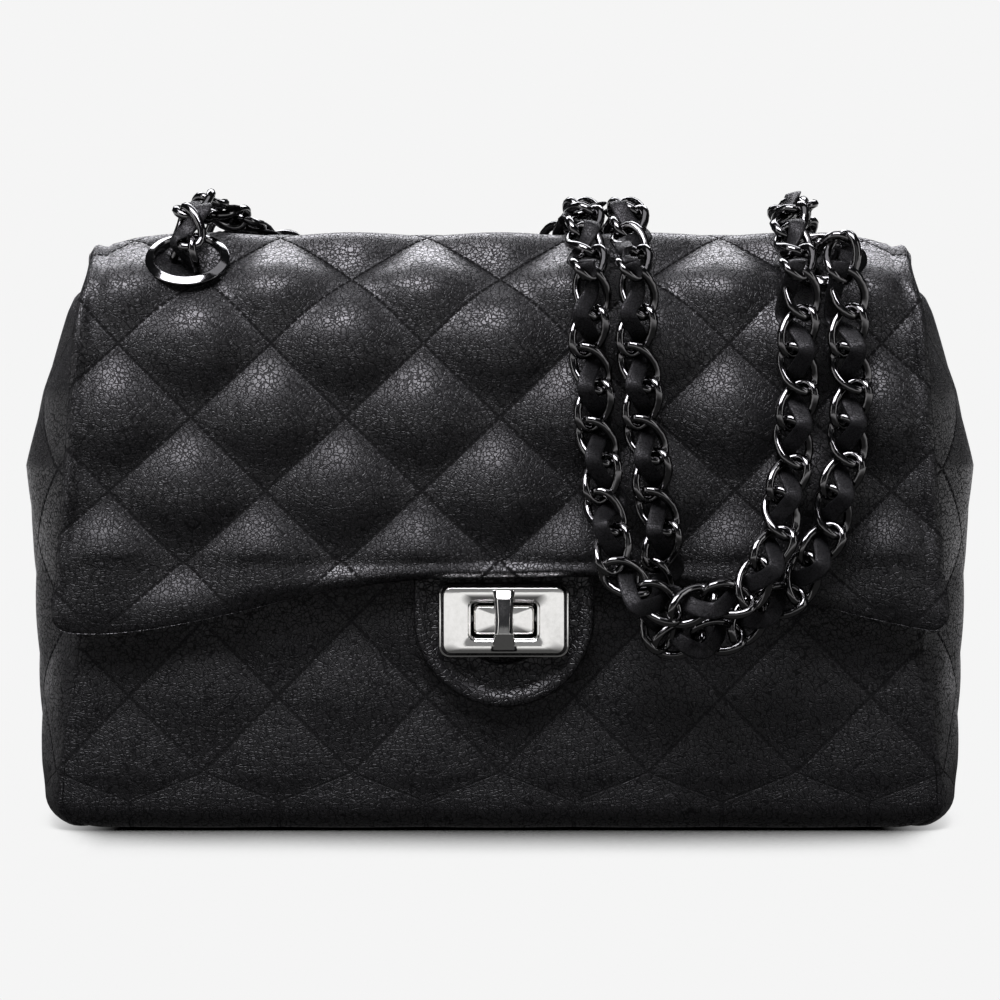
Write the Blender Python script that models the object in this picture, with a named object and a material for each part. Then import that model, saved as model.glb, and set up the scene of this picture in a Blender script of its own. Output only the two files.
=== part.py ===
"""Quilted flap handbag with a turn lock and a chain strap woven with a leather lace.

World frame: X to the right as seen from the front, Y to the back, Z up, in metres.
The origin is the centre of the base, on the surface that the bag stands on.
The walls are panels of one lofted shell, seamed edge to edge with a hairline gap.
The flap turns about the top edge of the back panel, the knob turns on its spindle,
and the two hanging loops of the chain swing about a line in front of the shoulder.
"""

import math
from itertools import product

import bmesh
import bpy
import numpy as np
from mathutils import Matrix, Vector

MM = 0.001

# Overall sizes, and the clearance that touching pieces keep.
HEIGHT = 185.3 * MM
HALF_WIDTH = 150.0 * MM
DEPTH = 50.0 * MM
GAP = 0.3 * MM
OVERRUN = 2.0 * MM

# Shell of the bag: quilted leather over padding.
WALL = 3.0 * MM
BASE_RADIUS = 9.0 * MM
HEM = 3.7 * MM
SEAM_EASE_SHARE = 0.1
GUSSET_RISE = 3.0 * MM
TOP_TILT = 10.0 * MM
ROOF_SHARE = 0.944
ROOF_CLEAR = 0.6 * MM
BOARD = 1.5 * MM
BOARD_MARGIN = 3.0 * MM
LINING = 0.8 * MM
LINING_RADIUS = 6.0 * MM
LINING_FRONT_SPACE = 3.6 * MM
LINING_SIDE_SPACE = 0.8 * MM
LINING_DROP = 1.5 * MM

# Flap: quilted leather outside, a plain lining inside.
FLAP_LINING = 1.0 * MM
FLAP_STACK = WALL + GAP + FLAP_LINING
BACK_TOP = ROOF_SHARE * HEIGHT - FLAP_STACK - ROOF_CLEAR
GUSSET_TOP = BACK_TOP - TOP_TILT / 2
FRONT_TOP = BACK_TOP - TOP_TILT
FLAP_LOW_SHARE = 0.3346
FLAP_DIP_SHARE = 0.0934
FLAP_DIP_HALF_SHARE = 0.8667
FLAP_CORNER = 6.0 * MM
HINGE_OUT = 0.3 * MM

# Eyelets: a flanged ring with a neck through the flap, and a washer under it.
EYELET_SPACING_SHARE = 0.6527
EYELET_SHIFT_SHARE = 0.0127
EYELET_RADIUS = 13.0 * MM
EYELET_BORE = 9.9 * MM
EYELET_NECK = 10.6 * MM
EYELET_CROWN = 1.6 * MM
WASHER_RADIUS = 12.5 * MM
WASHER = 0.8 * MM

# Turn lock: everything is placed about the knob's axis.
LOCK_X = 1.2 * MM
LOCK_HEIGHT_SHARE = 0.3578
LOCK_Z = LOCK_HEIGHT_SHARE * HEIGHT
PLATE_WIDTH = 39.6 * MM
PLATE_HEIGHT = 22.8 * MM
PLATE = 4.0 * MM
PLATE_BEVEL = 2.0 * MM
PLATE_CORNER = 3.2 * MM
SLOT_WIDTH = 0.5556 * PLATE_WIDTH
SLOT_HEIGHT = 0.5614 * PLATE_HEIGHT
SLOT_CORNER = 2.5 * MM
SLOT_RIM = 1.0 * MM
SLOT_STEP = 0.8 * MM
BOSS_WIDTH = SLOT_WIDTH - 3.5 * MM
BOSS_HEIGHT = SLOT_HEIGHT - 3.8 * MM
BOSS_RECESS = 1.5 * MM
BOSS_EDGE = 0.6 * MM
FLANGE_MARGIN = 3.1 * MM
FLANGE = 1.2 * MM
KNOB_LENGTH = 18.6 * MM
KNOB_END = 7.2 * MM
KNOB_WAIST = 5.0 * MM
KNOB = 5.4 * MM
KNOB_CLEAR = 0.5 * MM
KNOB_COLLAR = 2.9 * MM
KNOB_SOCKET = 2.0 * MM
SPINDLE_RADIUS = 1.6 * MM
SPINDLE_CLEAR = 0.35 * MM
SPINDLE_HEAD = 3.4 * MM
SPINDLE_HEAD_DEPTH = 0.7 * MM
WAVE_RADIUS = 3.4 * MM
WAVE = 0.5 * MM
BACKING = 1.0 * MM
RIVET_RADIUS = 0.9 * MM
RIVET_HEAD = 1.4 * MM
RIVET_HEAD_DEPTH = 0.5 * MM

# Leather tab that carries the plate, and the frame behind it.
TAB_SHIFT = 1.2 * MM
TAB_HALF = 27.6 * MM
TAB_LOW = LOCK_Z - 27.1 * MM
TAB_TOP = LOCK_Z + 20.7 * MM
TAB = 3.5 * MM
TAB_ROLL = 1.2 * MM
TAB_WINDOW_MARGIN = 0.9 * MM
FRAME = 0.9 * MM
FRAME_SINK = 1.4 * MM

# Chain: wire bent to ovals, every link the same. Neighbours bite into each other, so that
# a strand is one body, and a strand is longer than its route by the share that it takes up.
WIRE_RADIUS = 1.2 * MM
LINK_LENGTH = 19.3 * MM
LINK_WIDTH = 12.0 * MM
LINK_BITE = 0.15 * MM
PIVOT_Y = -67.6 * MM
PIVOT_Z = 173.5 * MM
PIVOT_SLACK = 0.8 * MM
TAKE_UP_SHARE = 0.03

# Lace: a flat strip that weaves through the links. Where it could touch a link, shares of
# its offset and turn are tried in order until it clears.
LACE_WIDTH = 4.4 * MM
LACE = 0.8 * MM
LACE_SIDE = 4.1 * MM
LACE_OUT = 4.2 * MM
LACE_TURN_EDGE = 0.0
LACE_TURN_FACE = math.radians(30)
LACE_TRIAL_SHARES = (0.55, 0.7, 0.85, 1.0, 1.15)
LACE_TURNS = (-0.5, -0.25, 0.0, 0.25, 0.5)

# Rows of the shell, from the base up: height as a share of HEIGHT, then the half width
# at the gusset's fold and at the seam as shares of HALF_WIDTH, then the depth to the
# front and to the back as shares of DEPTH.
SHELL_SHARES = (
    (0.049, 0.963, 0.910, 0.950, 0.950),
    (0.099, 0.969, 0.906, 0.969, 0.959),
    (0.226, 0.977, 0.880, 0.996, 0.971),
    (0.352, 0.983, 0.859, 1.008, 0.980),
    (0.478, 0.989, 0.853, 1.019, 0.980),
    (0.604, 1.000, 0.853, 1.101, 0.980),
    (0.731, 0.963, 0.851, 1.101, 0.956),
    (0.857, 0.911, 0.846, 1.010, 0.925),
    (0.939, 0.877, 0.843, 0.930, 0.910),
)
FOLD_STEPS = 5
GUSSET_SHARES = (0.0, 0.08, 0.22, 0.4, 0.5, 0.6, 0.78, 0.92, 1.0)
GUSSET_BULGE_POWER = 2.4
BASE_STEPS = 3

# Quilting: seams cross where the sum of a point's steps across and along is odd.
QUILT_SINK = 1.9 * MM
QUILT_POWER = 0.62
QUILT_STEPS = 5
PANEL_STEP_SHARE = 0.1724
FLAP_STEP_SHARE = 0.1786
QUILT_CLEAR = 3.0 * MM

# Side view of the flap's outside, from the hinge over the ridge to above the lower
# edge: depth as a share of DEPTH, height as a share of HEIGHT, half width as a share
# of HALF_WIDTH, and the quilting's step. The two long straight stretches seat the eyelets.
FLAP_SHARES = (
    (0.900, 0.9207, 0.847, -3.60),
    (0.886, 0.9330, 0.850, -3.45),
    (0.830, 0.9415, 0.853, -3.30),
    (0.720, ROOF_SHARE, 0.860, -3.00),
    (0.140, 0.9430, 0.872, -2.00),
    (-0.080, 0.9530, 0.870, -1.50),
    (-0.280, 0.9740, 0.862, -1.00),
    (-0.440, 0.9920, 0.853, -0.50),
    (-0.580, 1.0000, 0.847, -0.20),
    (-0.672, 0.9988, 0.845, 0.00),
    (-1.007, 0.9282, 0.844, 1.00),
    (-1.130, 0.9023, 0.857, 1.32),
    (-1.176, 0.8716, 0.862, 1.56),
    (-1.208, 0.8143, 0.868, 2.00),
    (-1.220, 0.6924, 0.878, 3.00),
    (-1.219, 0.5704, 0.890, 4.00),
    (-1.211, 0.4485, 0.903, 5.00),
)
FLAP_LOW_SHARES = ((0.55, 0.910), (1.0, 0.915))
FLAP_LOW_DEPTH_SHARE = -1.206
FLAP_COLUMN_SHARES = (
    -1.0, -0.97, *(k * FLAP_STEP_SHARE for k in range(-QUILT_STEPS, QUILT_STEPS + 1)), 0.97, 1.0,
)
PANEL_COLUMN_SHARES = (-1.0, *(k * PANEL_STEP_SHARE for k in range(-QUILT_STEPS, QUILT_STEPS + 1)), 1.0)
SHOULDER_STEPS = (9, 11)
ROOF_STEPS = (3, 4)

# Routes of the chain as shares: across of HALF_WIDTH, depth of DEPTH, height of HEIGHT.
LOOP_FRONT_SHARES = (
    (0.173, -1.352, 0.9363), (0.177, -1.352, 0.853), (0.184, -1.352, 0.766),
    (0.193, -1.352, 0.680), (0.204, -1.380, 0.604), (0.213, -1.480, 0.529),
    (0.227, -1.580, 0.464), (0.263, -1.610, 0.402), (0.343, -1.580, 0.372),
    (0.440, -1.540, 0.380), (0.513, -1.520, 0.418), (0.550, -1.490, 0.486),
    (0.572, -1.400, 0.561), (0.591, -1.356, 0.648), (0.600, -1.352, 0.739),
    (0.600, -1.352, 0.836), (0.595, -1.352, 0.9363),
)
LOOP_REAR_SHARES = (
    (0.264, -1.352, 0.9363), (0.273, -1.352, 0.853), (0.281, -1.352, 0.766),
    (0.291, -1.352, 0.680), (0.305, -1.352, 0.604), (0.321, -1.352, 0.529),
    (0.330, -1.352, 0.468), (0.318, -1.352, 0.414), (0.298, -1.352, 0.366),
    (0.312, -1.352, 0.324), (0.370, -1.352, 0.300), (0.453, -1.352, 0.317),
    (0.533, -1.352, 0.364), (0.600, -1.352, 0.416), (0.647, -1.352, 0.480),
    (0.677, -1.352, 0.556), (0.699, -1.352, 0.637), (0.707, -1.352, 0.723),
    (0.704, -1.352, 0.809), (0.693, -1.352, 0.880), (0.685, -1.352, 0.9363),
)
RUN_LEFT_SHARES = (
    (0.173, -1.352, 0.9363), (0.173, -1.080, 0.979), (0.173, -0.820, 1.026),
    (0.173, -0.580, 1.041), (0.170, -0.360, 1.028), (0.150, -0.140, 1.000),
    (0.080, 0.060, 0.986), (-0.060, 0.120, 0.983), (-0.220, 0.120, 0.983),
    (-0.360, 0.060, 0.987), (-0.470, -0.120, 1.002), (-0.560, -0.380, 1.032),
    (-0.615, -0.640, 1.047), (-0.638, -0.880, 1.030), (-0.640, -0.975, 0.990),
    (-0.641, -0.930, 0.945), (-0.641, -0.800, 0.905), (-0.641, -0.560, 0.870),
    (-0.641, -0.200, 0.852), (-0.641, 0.160, 0.848), (-0.641, 0.360, 0.872),
    (-0.641, 0.430, 0.920), (-0.640, 0.440, 0.975), (-0.622, 0.440, 1.012),
    (-0.560, 0.445, 1.028), (-0.470, 0.450, 1.016), (-0.380, 0.455, 0.994),
    (-0.260, 0.455, 0.990), (-0.067, 0.440, 0.988), (0.107, 0.400, 0.988), (0.200, 0.260, 0.988),
    (0.245, 0.040, 0.990), (0.260, -0.180, 1.006), (0.263, -0.380, 1.030),
    (0.264, -0.580, 1.041), (0.264, -0.820, 1.026), (0.264, -1.080, 0.979),
    (0.264, -1.352, 0.9363),
)
RUN_RIGHT_SHARES = (
    (0.595, -1.352, 0.9363), (0.595, -1.080, 0.979), (0.595, -0.820, 1.026),
    (0.596, -0.580, 1.041), (0.600, -0.360, 1.030), (0.612, -0.150, 1.020),
    (0.630, 0.020, 1.024), (0.647, 0.160, 1.032), (0.660, 0.310, 1.030),
    (0.667, 0.440, 1.002), (0.668, 0.460, 0.945), (0.666, 0.390, 0.890),
    (0.665, 0.240, 0.856), (0.665, 0.020, 0.846), (0.665, -0.240, 0.851),
    (0.665, -0.600, 0.872), (0.665, -0.810, 0.907), (0.666, -0.950, 0.953),
    (0.671, -1.100, 0.992), (0.680, -1.270, 0.984), (0.685, -1.352, 0.9363),
)


def clear_scene():
    for obj in list(bpy.data.objects):
        bpy.data.objects.remove(obj, do_unlink=True)


def material(name, colour, roughness, metallic):
    mat = bpy.data.materials.new(name)
    mat.use_nodes = True
    shader = mat.node_tree.nodes["Principled BSDF"]
    shader.inputs["Base Color"].default_value = (*colour, 1.0)
    shader.inputs["Roughness"].default_value = roughness
    shader.inputs["Metallic"].default_value = metallic
    return mat


def empty(name, location, turn=0.0):
    """A carrier for pieces: turn is its rotation about X."""
    carrier = bpy.data.objects.new(name, None)
    carrier.location = location
    carrier.rotation_euler = (turn, 0.0, 0.0)
    bpy.context.collection.objects.link(carrier)
    return carrier


def place(name, mesh, mat, parent=None, location=(0.0, 0.0, 0.0), turn=0.0):
    """Link a mesh as one piece, shaded smooth between its sharp edges."""
    mesh.shade_smooth()
    mesh.set_sharp_from_angle(angle=math.radians(35))
    mesh.materials.clear()
    mesh.materials.append(mat)
    obj = bpy.data.objects.new(name, mesh)
    obj.parent = parent
    obj.location = location
    obj.rotation_euler = (turn, 0.0, 0.0)
    bpy.context.collection.objects.link(obj)
    return obj


def place_world(name, mesh, mat, parent=None):
    """Link a mesh whose points are world points, carried by an unturned empty."""
    if parent is not None:
        mesh.transform(Matrix.Translation(-parent.location))
    return place(name, mesh, mat, parent)


def cut(target, mesh, parent=None, location=(0.0, 0.0, 0.0), turn=0.0, operation="DIFFERENCE"):
    """Take a closed mesh out of a piece."""
    tool = bpy.data.objects.new(target.name + "_tool", mesh)
    tool.parent = parent
    tool.location = location
    tool.rotation_euler = (turn, 0.0, 0.0)
    tool.hide_render = True
    tool.display_type = "WIRE"
    bpy.context.collection.objects.link(tool)
    boolean = target.modifiers.new(operation.lower(), "BOOLEAN")
    boolean.operation = operation
    boolean.solver = "EXACT"
    boolean.object = tool


def join(target, mesh, parent):
    """Fuse a closed mesh with a piece."""
    cut(target, mesh, parent, operation="UNION")


def closed_mesh(name, points, faces):
    """A mesh with its faces turned out, for a closed body."""
    mesh = bpy.data.meshes.new(name)
    mesh.from_pydata([tuple(p) for p in points], [], faces)
    shape = bmesh.new()
    shape.from_mesh(mesh)
    bmesh.ops.recalc_face_normals(shape, faces=shape.faces)
    shape.to_mesh(mesh)
    shape.free()
    return mesh


def sheet_mesh(name, rows, flip=False, wrap=False, lifts=None):
    """An open sheet through rows of points, facing along column direction x row direction.

    With a lift for each point, each quad is split along its lower diagonal.
    """
    count = len(rows[0])
    points = [p for row in rows for p in row]
    faces = []
    for i in range(len(rows) - 1):
        for j in range(count if wrap else count - 1):
            k = (j + 1) % count
            a, b, c, d = i * count + j, i * count + k, (i + 1) * count + k, (i + 1) * count + j
            if lifts is None:
                parts = [[a, b, c, d]]
            elif lifts[a] + lifts[c] < lifts[b] + lifts[d]:
                parts = [[a, b, c], [a, c, d]]
            else:
                parts = [[a, b, d], [b, c, d]]
            faces += [part[::-1] if flip else part for part in parts]
    mesh = bpy.data.meshes.new(name)
    mesh.from_pydata([tuple(p) for p in points], [], faces)
    return mesh


def loft(name, rings):
    """A closed body through rings of equally many points, with flat ends."""
    count = len(rings[0])
    points = [p for ring in rings for p in ring]
    faces = [list(range(count)), list(range((len(rings) - 1) * count, len(rings) * count))]
    for i in range(len(rings) - 1):
        for j in range(count):
            k = (j + 1) % count
            faces.append([i * count + j, i * count + k, (i + 1) * count + k, (i + 1) * count + j])
    return closed_mesh(name, points, faces)


def prism(name, outline, low, high):
    return loft(name, [[(x, y, z) for x, y in outline] for z in (low, high)])


def revolve(name, profile, segments, closed=False):
    """A turned body about Z: the profile runs from axis to axis, or is a closed ring."""
    points, rings, faces = [], [], []
    for radius, height in profile:
        if radius == 0.0:
            rings.append([len(points)] * segments)
            points.append((0.0, 0.0, height))
            continue
        rings.append(list(range(len(points), len(points) + segments)))
        for i in range(segments):
            angle = math.tau * i / segments
            points.append((radius * math.cos(angle), radius * math.sin(angle), height))
    pairs = list(zip(rings, rings[1:]))
    if closed:
        pairs.append((rings[-1], rings[0]))
    for low, high in pairs:
        for i in range(segments):
            j = (i + 1) % segments
            face = list(dict.fromkeys((low[i], low[j], high[j], high[i])))
            if len(face) > 2:
                faces.append(face)
    return closed_mesh(name, points, faces)


def rod(name, radius, low, high, segments=12):
    return revolve(name, [(0.0, low), (radius, low), (radius, high), (0.0, high)], segments)


def rounded_rectangle(width, height, corner, steps=3):
    points = []
    for quarter, (sx, sy) in enumerate(((1, 1), (-1, 1), (-1, -1), (1, -1))):
        for i in range(steps + 1):
            angle = math.pi / 2 * (quarter + i / steps)
            x = sx * (width / 2 - corner) + corner * math.cos(angle)
            y = sy * (height / 2 - corner) + corner * math.sin(angle)
            points.append((x, y))
    return points


def solidify(obj, thickness, offset=-1.0):
    shell = obj.modifiers.new("thickness", "SOLIDIFY")
    shell.thickness = thickness
    shell.offset = offset
    shell.use_even_offset = True
    shell.use_quality_normals = True


def quilt_lift(across, along):
    """How far a point stands out: least where the seams cross, most in a diamond's middle."""
    arches = abs(math.cos(math.pi * (across + along) / 2) * math.cos(math.pi * (across - along) / 2))
    return (arches**QUILT_POWER - 1) * QUILT_SINK


def pad(obj, lifts):
    """Turn a solidified sheet into a mesh, and move each point of its outer face by its lift."""
    shape = obj.evaluated_get(bpy.context.evaluated_depsgraph_get())
    obj.data = bpy.data.meshes.new_from_object(shape)
    obj.modifiers.clear()
    normals = [point.normal.copy() for point in obj.data.vertices]
    for point, normal, lift in zip(obj.data.vertices, normals, lifts):
        point.co += normal * lift


def section(height):
    """Half widths at the fold and the seam, and depths to the front and back, at a height."""
    rows = np.array(SHELL_SHARES)
    share = height / HEIGHT
    fold, seam, front, back = (float(np.interp(share, rows[:, 0], rows[:, i])) for i in range(1, 5))
    return fold * HALF_WIDTH, seam * HALF_WIDTH, front * DEPTH, back * DEPTH


def base_rows(radius, hem, floor):
    """Inset and height of the rows that round a wall into the base."""
    rows = [(radius + hem, floor), (radius, floor)]
    for i in range(1, BASE_STEPS + 1):
        turn = math.pi / 2 * i / BASE_STEPS
        rows.append((radius * (1 - math.sin(turn)), floor + radius * (1 - math.cos(turn))))
    return rows


def wall_rows(top):
    rows = base_rows(BASE_RADIUS, HEM, 0.0)
    heights = [row[0] * HEIGHT for row in SHELL_SHARES[1:]]
    margin = BASE_RADIUS / 2
    return rows + [(0.0, z) for z in heights if z < top - margin] + [(0.0, top)]


def bulge(share):
    return 1 - abs(2 * share - 1) ** GUSSET_BULGE_POWER


def side_curve(side, inset, height, lift=0.0):
    """Points of the gusset's section from front to back; lift 1 gives the arch of its top."""
    curve = []
    for share in GUSSET_SHARES:
        arch = GUSSET_RISE * math.sin(math.pi * share) + (BACK_TOP - FRONT_TOP) * (share - 0.5)
        z = height + lift * arch
        fold, seam, front, back = (value - inset for value in section(z))
        x = seam + HEM + (fold - seam - HEM) * bulge(share)
        curve.append((side * x, -front + (front + back) * share, z))
    return curve


def near_lock(x, z):
    """Whether a point of the front panel is where the lock sits, which is left flat."""
    width, height = flange_size()
    return abs(x - LOCK_X) < width / 2 + QUILT_CLEAR and abs(z - LOCK_Z) < height / 2 + QUILT_CLEAR


def panel_object(name, top, mat, side):
    """Front or back panel: side is -1 at the front and 1 at the back."""
    rows, lifts = [], []
    heights = [row[0] for row in SHELL_SHARES]
    for inset, z in wall_rows(top):
        _, seam, front, back = (value - inset for value in section(z))
        depth = -front if side < 0 else back
        rows.append([(-side * share * seam, depth, z) for share in PANEL_COLUMN_SHARES])
        along = float(np.interp(z / HEIGHT, heights, range(len(heights))))
        for x, _, _ in rows[-1]:
            flat = abs(x) == seam or z in (0.0, top) or along == 0 or (side < 0 and near_lock(x, z))
            lifts.append(0.0 if flat else quilt_lift(x / seam / PANEL_STEP_SHARE, along))
    obj = place(name, sheet_mesh(name, rows, lifts=lifts), mat)
    solidify(obj, WALL)
    pad(obj, lifts)
    return obj


def gusset_object(name, mat, side):
    rows = []
    fold_height = HEIGHT * SHELL_SHARES[FOLD_STEPS][0]
    for inset, z in wall_rows(GUSSET_TOP):
        lift = max(0.0, (z - fold_height) / (GUSSET_TOP - fold_height))
        curve = side_curve(side, inset, z, lift)
        start, end = (
            (side * (section(height)[1] + GAP - inset * (1 - SEAM_EASE_SHARE)), depth, height)
            for _, depth, height in (curve[0], curve[-1])
        )
        rows.append([start, *curve, end])
    obj = place(name, sheet_mesh(name, rows, flip=side < 0), mat)
    solidify(obj, WALL)
    return obj


def body_outline(inset, height):
    """The bag's section at a height, drawn in by inset, as points on the plan."""
    right = [(x, y) for x, y, _ in side_curve(1, inset, height)]
    left = [(x, y) for x, y, _ in side_curve(-1, inset, height)]
    return right + left[::-1]


def lining_object(mat):
    """A cup inside the walls, with room behind the front panel for the lock."""
    floor = WALL + GAP + BOARD + GAP
    rows = []
    heights = [row[0] * HEIGHT for row in SHELL_SHARES[2:-1:2]]
    for inset, z in base_rows(LINING_RADIUS, 0.0, floor)[1:] + [(0.0, h) for h in heights]:
        rows.append(lining_ring(inset, z, 0.0))
    rows.append(lining_ring(0.0, GUSSET_TOP - LINING_DROP, 1.0))
    mesh = sheet_mesh("lining", rows, wrap=True)
    shape = bmesh.new()
    shape.from_mesh(mesh)
    shape.verts.ensure_lookup_table()
    shape.faces.new(shape.verts[i] for i in reversed(range(2 * len(GUSSET_SHARES))))
    shape.to_mesh(mesh)
    shape.free()
    obj = place("lining", mesh, mat)
    solidify(obj, LINING)
    return obj


def lining_ring(inset, height, lift):
    """One ring of the lining; lift is 1 at the mouth, which follows the top of the gussets."""
    ring = []
    for side in (1, -1):
        curve = side_curve(side, inset + WALL + LINING_SIDE_SPACE, height, lift)
        points = [(x, max(y, inset + WALL + LINING_FRONT_SPACE - section(z)[2]), z) for x, y, z in curve]
        ring += points if side > 0 else points[::-1]
    return ring


def flap_profile():
    """Depth, height, half width and quilting step of each row of the flap above its lower edge."""
    return [(d * DEPTH, h * HEIGHT, w * HALF_WIDTH, step) for d, h, w, step in FLAP_SHARES]


def flap_edge_height(x, half):
    """Height of the flap's lower edge, which dips at the sides and is round at its corners."""
    dip = math.cos(math.pi / 2 * min(1.0, abs(x) / HALF_WIDTH / FLAP_DIP_HALF_SHARE)) ** 2
    edge = (FLAP_LOW_SHARE + FLAP_DIP_SHARE * dip) * HEIGHT
    over = (abs(x) - (half - FLAP_CORNER)) / FLAP_CORNER
    if over > 0:
        edge += FLAP_CORNER * (1 - math.sqrt(max(0.0, 1 - over * over)))
    return edge


def flap_rows():
    """Rows of points of the flap's outside, and the quilting's step along at each point."""
    profile = flap_profile()
    rows = [[(c * w, y, z) for c in FLAP_COLUMN_SHARES] for y, z, w, _ in profile]
    steps = [step for _, _, _, step in profile for _ in FLAP_COLUMN_SHARES]
    last_z = profile[-1][1]
    pitch = profile[-2][1] - last_z
    for share, width_share in FLAP_LOW_SHARES:
        half = width_share * HALF_WIDTH
        row = []
        for column in FLAP_COLUMN_SHARES:
            z = last_z + (flap_edge_height(column * half, half) - last_z) * share
            row.append((column * half, FLAP_LOW_DEPTH_SHARE * DEPTH, z))
            steps.append(profile[-1][3] + (last_z - z) / pitch)
        rows.append(row)
    return rows, steps


def flap_lifts(rows, steps):
    """The quilting of the flap, which is flat at the rims and beneath the eyelets."""
    seats = [Vector(centre) for centre, _ in eyelet_seats().values()]
    clear = EYELET_RADIUS + QUILT_CLEAR
    lifts = []
    for i, row in enumerate(rows):
        for j, (share, point) in enumerate(zip(FLAP_COLUMN_SHARES, row)):
            rim = i in (0, len(rows) - 1) or j in (0, len(row) - 1)
            flat = rim or min((Vector(point) - centre).length for centre in seats) < clear
            lifts.append(0.0 if flat else quilt_lift(share / FLAP_STEP_SHARE, steps[len(lifts)]))
    return lifts


def seat(rows, x):
    """Centre of a straight stretch of the flap, and the turn that lays a ring flat on it."""
    (y0, z0, _, _), (y1, z1, _, _) = (flap_profile()[i] for i in rows)
    turn = math.atan2(z0 - z1, y0 - y1)
    return (x, (y0 + y1) / 2, (z0 + z1) / 2), turn


def eyelet_seats():
    seats = {}
    for side, sign in (("left", -1), ("right", 1)):
        x = (EYELET_SHIFT_SHARE + sign * EYELET_SPACING_SHARE) * HALF_WIDTH
        seats["front_" + side] = seat(SHOULDER_STEPS, x)
        seats["back_" + side] = seat(ROOF_STEPS, x)
    return seats


def eyelet_objects(mat, hinge):
    end = FLAP_STACK + GAP + WASHER + GAP
    profile = [
        (EYELET_BORE, -end), (EYELET_BORE, GAP + EYELET_CROWN / 2), (EYELET_NECK, GAP + EYELET_CROWN),
        ((EYELET_NECK + EYELET_RADIUS) / 2, GAP + EYELET_CROWN), (EYELET_RADIUS, GAP + EYELET_CROWN / 3),
        (EYELET_RADIUS, GAP), (EYELET_NECK, GAP), (EYELET_NECK, -end),
    ]
    washer = [
        (EYELET_NECK + GAP, -FLAP_STACK - GAP), (WASHER_RADIUS, -FLAP_STACK - GAP),
        (WASHER_RADIUS, -FLAP_STACK - GAP - WASHER), (EYELET_NECK + GAP, -FLAP_STACK - GAP - WASHER),
    ]
    for key, (centre, turn) in eyelet_seats().items():
        at = Vector(centre) - hinge.location
        place("eyelet_" + key, revolve("eyelet", profile, 16, closed=True), mat, hinge, at, turn)
        place("eyelet_washer_" + key, revolve("washer", washer, 16, closed=True), mat, hinge, at, turn)


def flap_objects(leather, lining, hinge):
    rows, steps = flap_rows()
    lifts = flap_lifts(rows, steps)
    outer = place_world("flap", sheet_mesh("flap", rows, flip=True, lifts=lifts), leather, hinge)
    solidify(outer, WALL)
    pad(outer, lifts)
    inner = place_world("flap_lining", sheet_mesh("flap_lining", rows, flip=True), lining, hinge)
    solidify(inner, FLAP_LINING, -(2 * (WALL + GAP) / FLAP_LINING + 1))
    hole = EYELET_NECK + GAP
    for centre, turn in eyelet_seats().values():
        at = Vector(centre) - hinge.location
        for piece in (outer, inner):
            cut(piece, rod("hole", hole, -FLAP_STACK - OVERRUN, OVERRUN, 16), hinge, at, turn)


def lock_levels():
    """Distances out from the front panel of the faces that stack up at the lock."""
    tab_rear = GAP + FRAME + GAP
    tab_front = tab_rear + TAB
    plate_rear = tab_front + GAP
    plate_front = plate_rear + PLATE
    return {
        "flange": GAP + FLANGE, "frame": GAP + FRAME, "tab_rear": tab_rear, "tab_front": tab_front,
        "plate_rear": plate_rear, "plate_front": plate_front, "boss": plate_front - BOSS_RECESS,
        "knob": plate_front + KNOB_CLEAR, "panel": -WALL, "backing": -WALL - GAP - BACKING,
    }


def at_height(outline, z):
    return [(x, y, z) for x, y in outline]


def flange_size():
    return BOSS_WIDTH + 2 * FLANGE_MARGIN, BOSS_HEIGHT + 2 * FLANGE_MARGIN


def window_outline():
    """The opening of the tab and the frame, clear of the flange that passes through."""
    width, height = flange_size()
    return rounded_rectangle(width + 2 * TAB_WINDOW_MARGIN, height + 2 * TAB_WINDOW_MARGIN, SLOT_CORNER)


def rivet_places():
    """The two rivets sit in the flange, half way between the boss and the flange's ends."""
    reach = BOSS_WIDTH / 2 + FLANGE_MARGIN / 2
    return (("left", -reach), ("right", reach))


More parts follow.
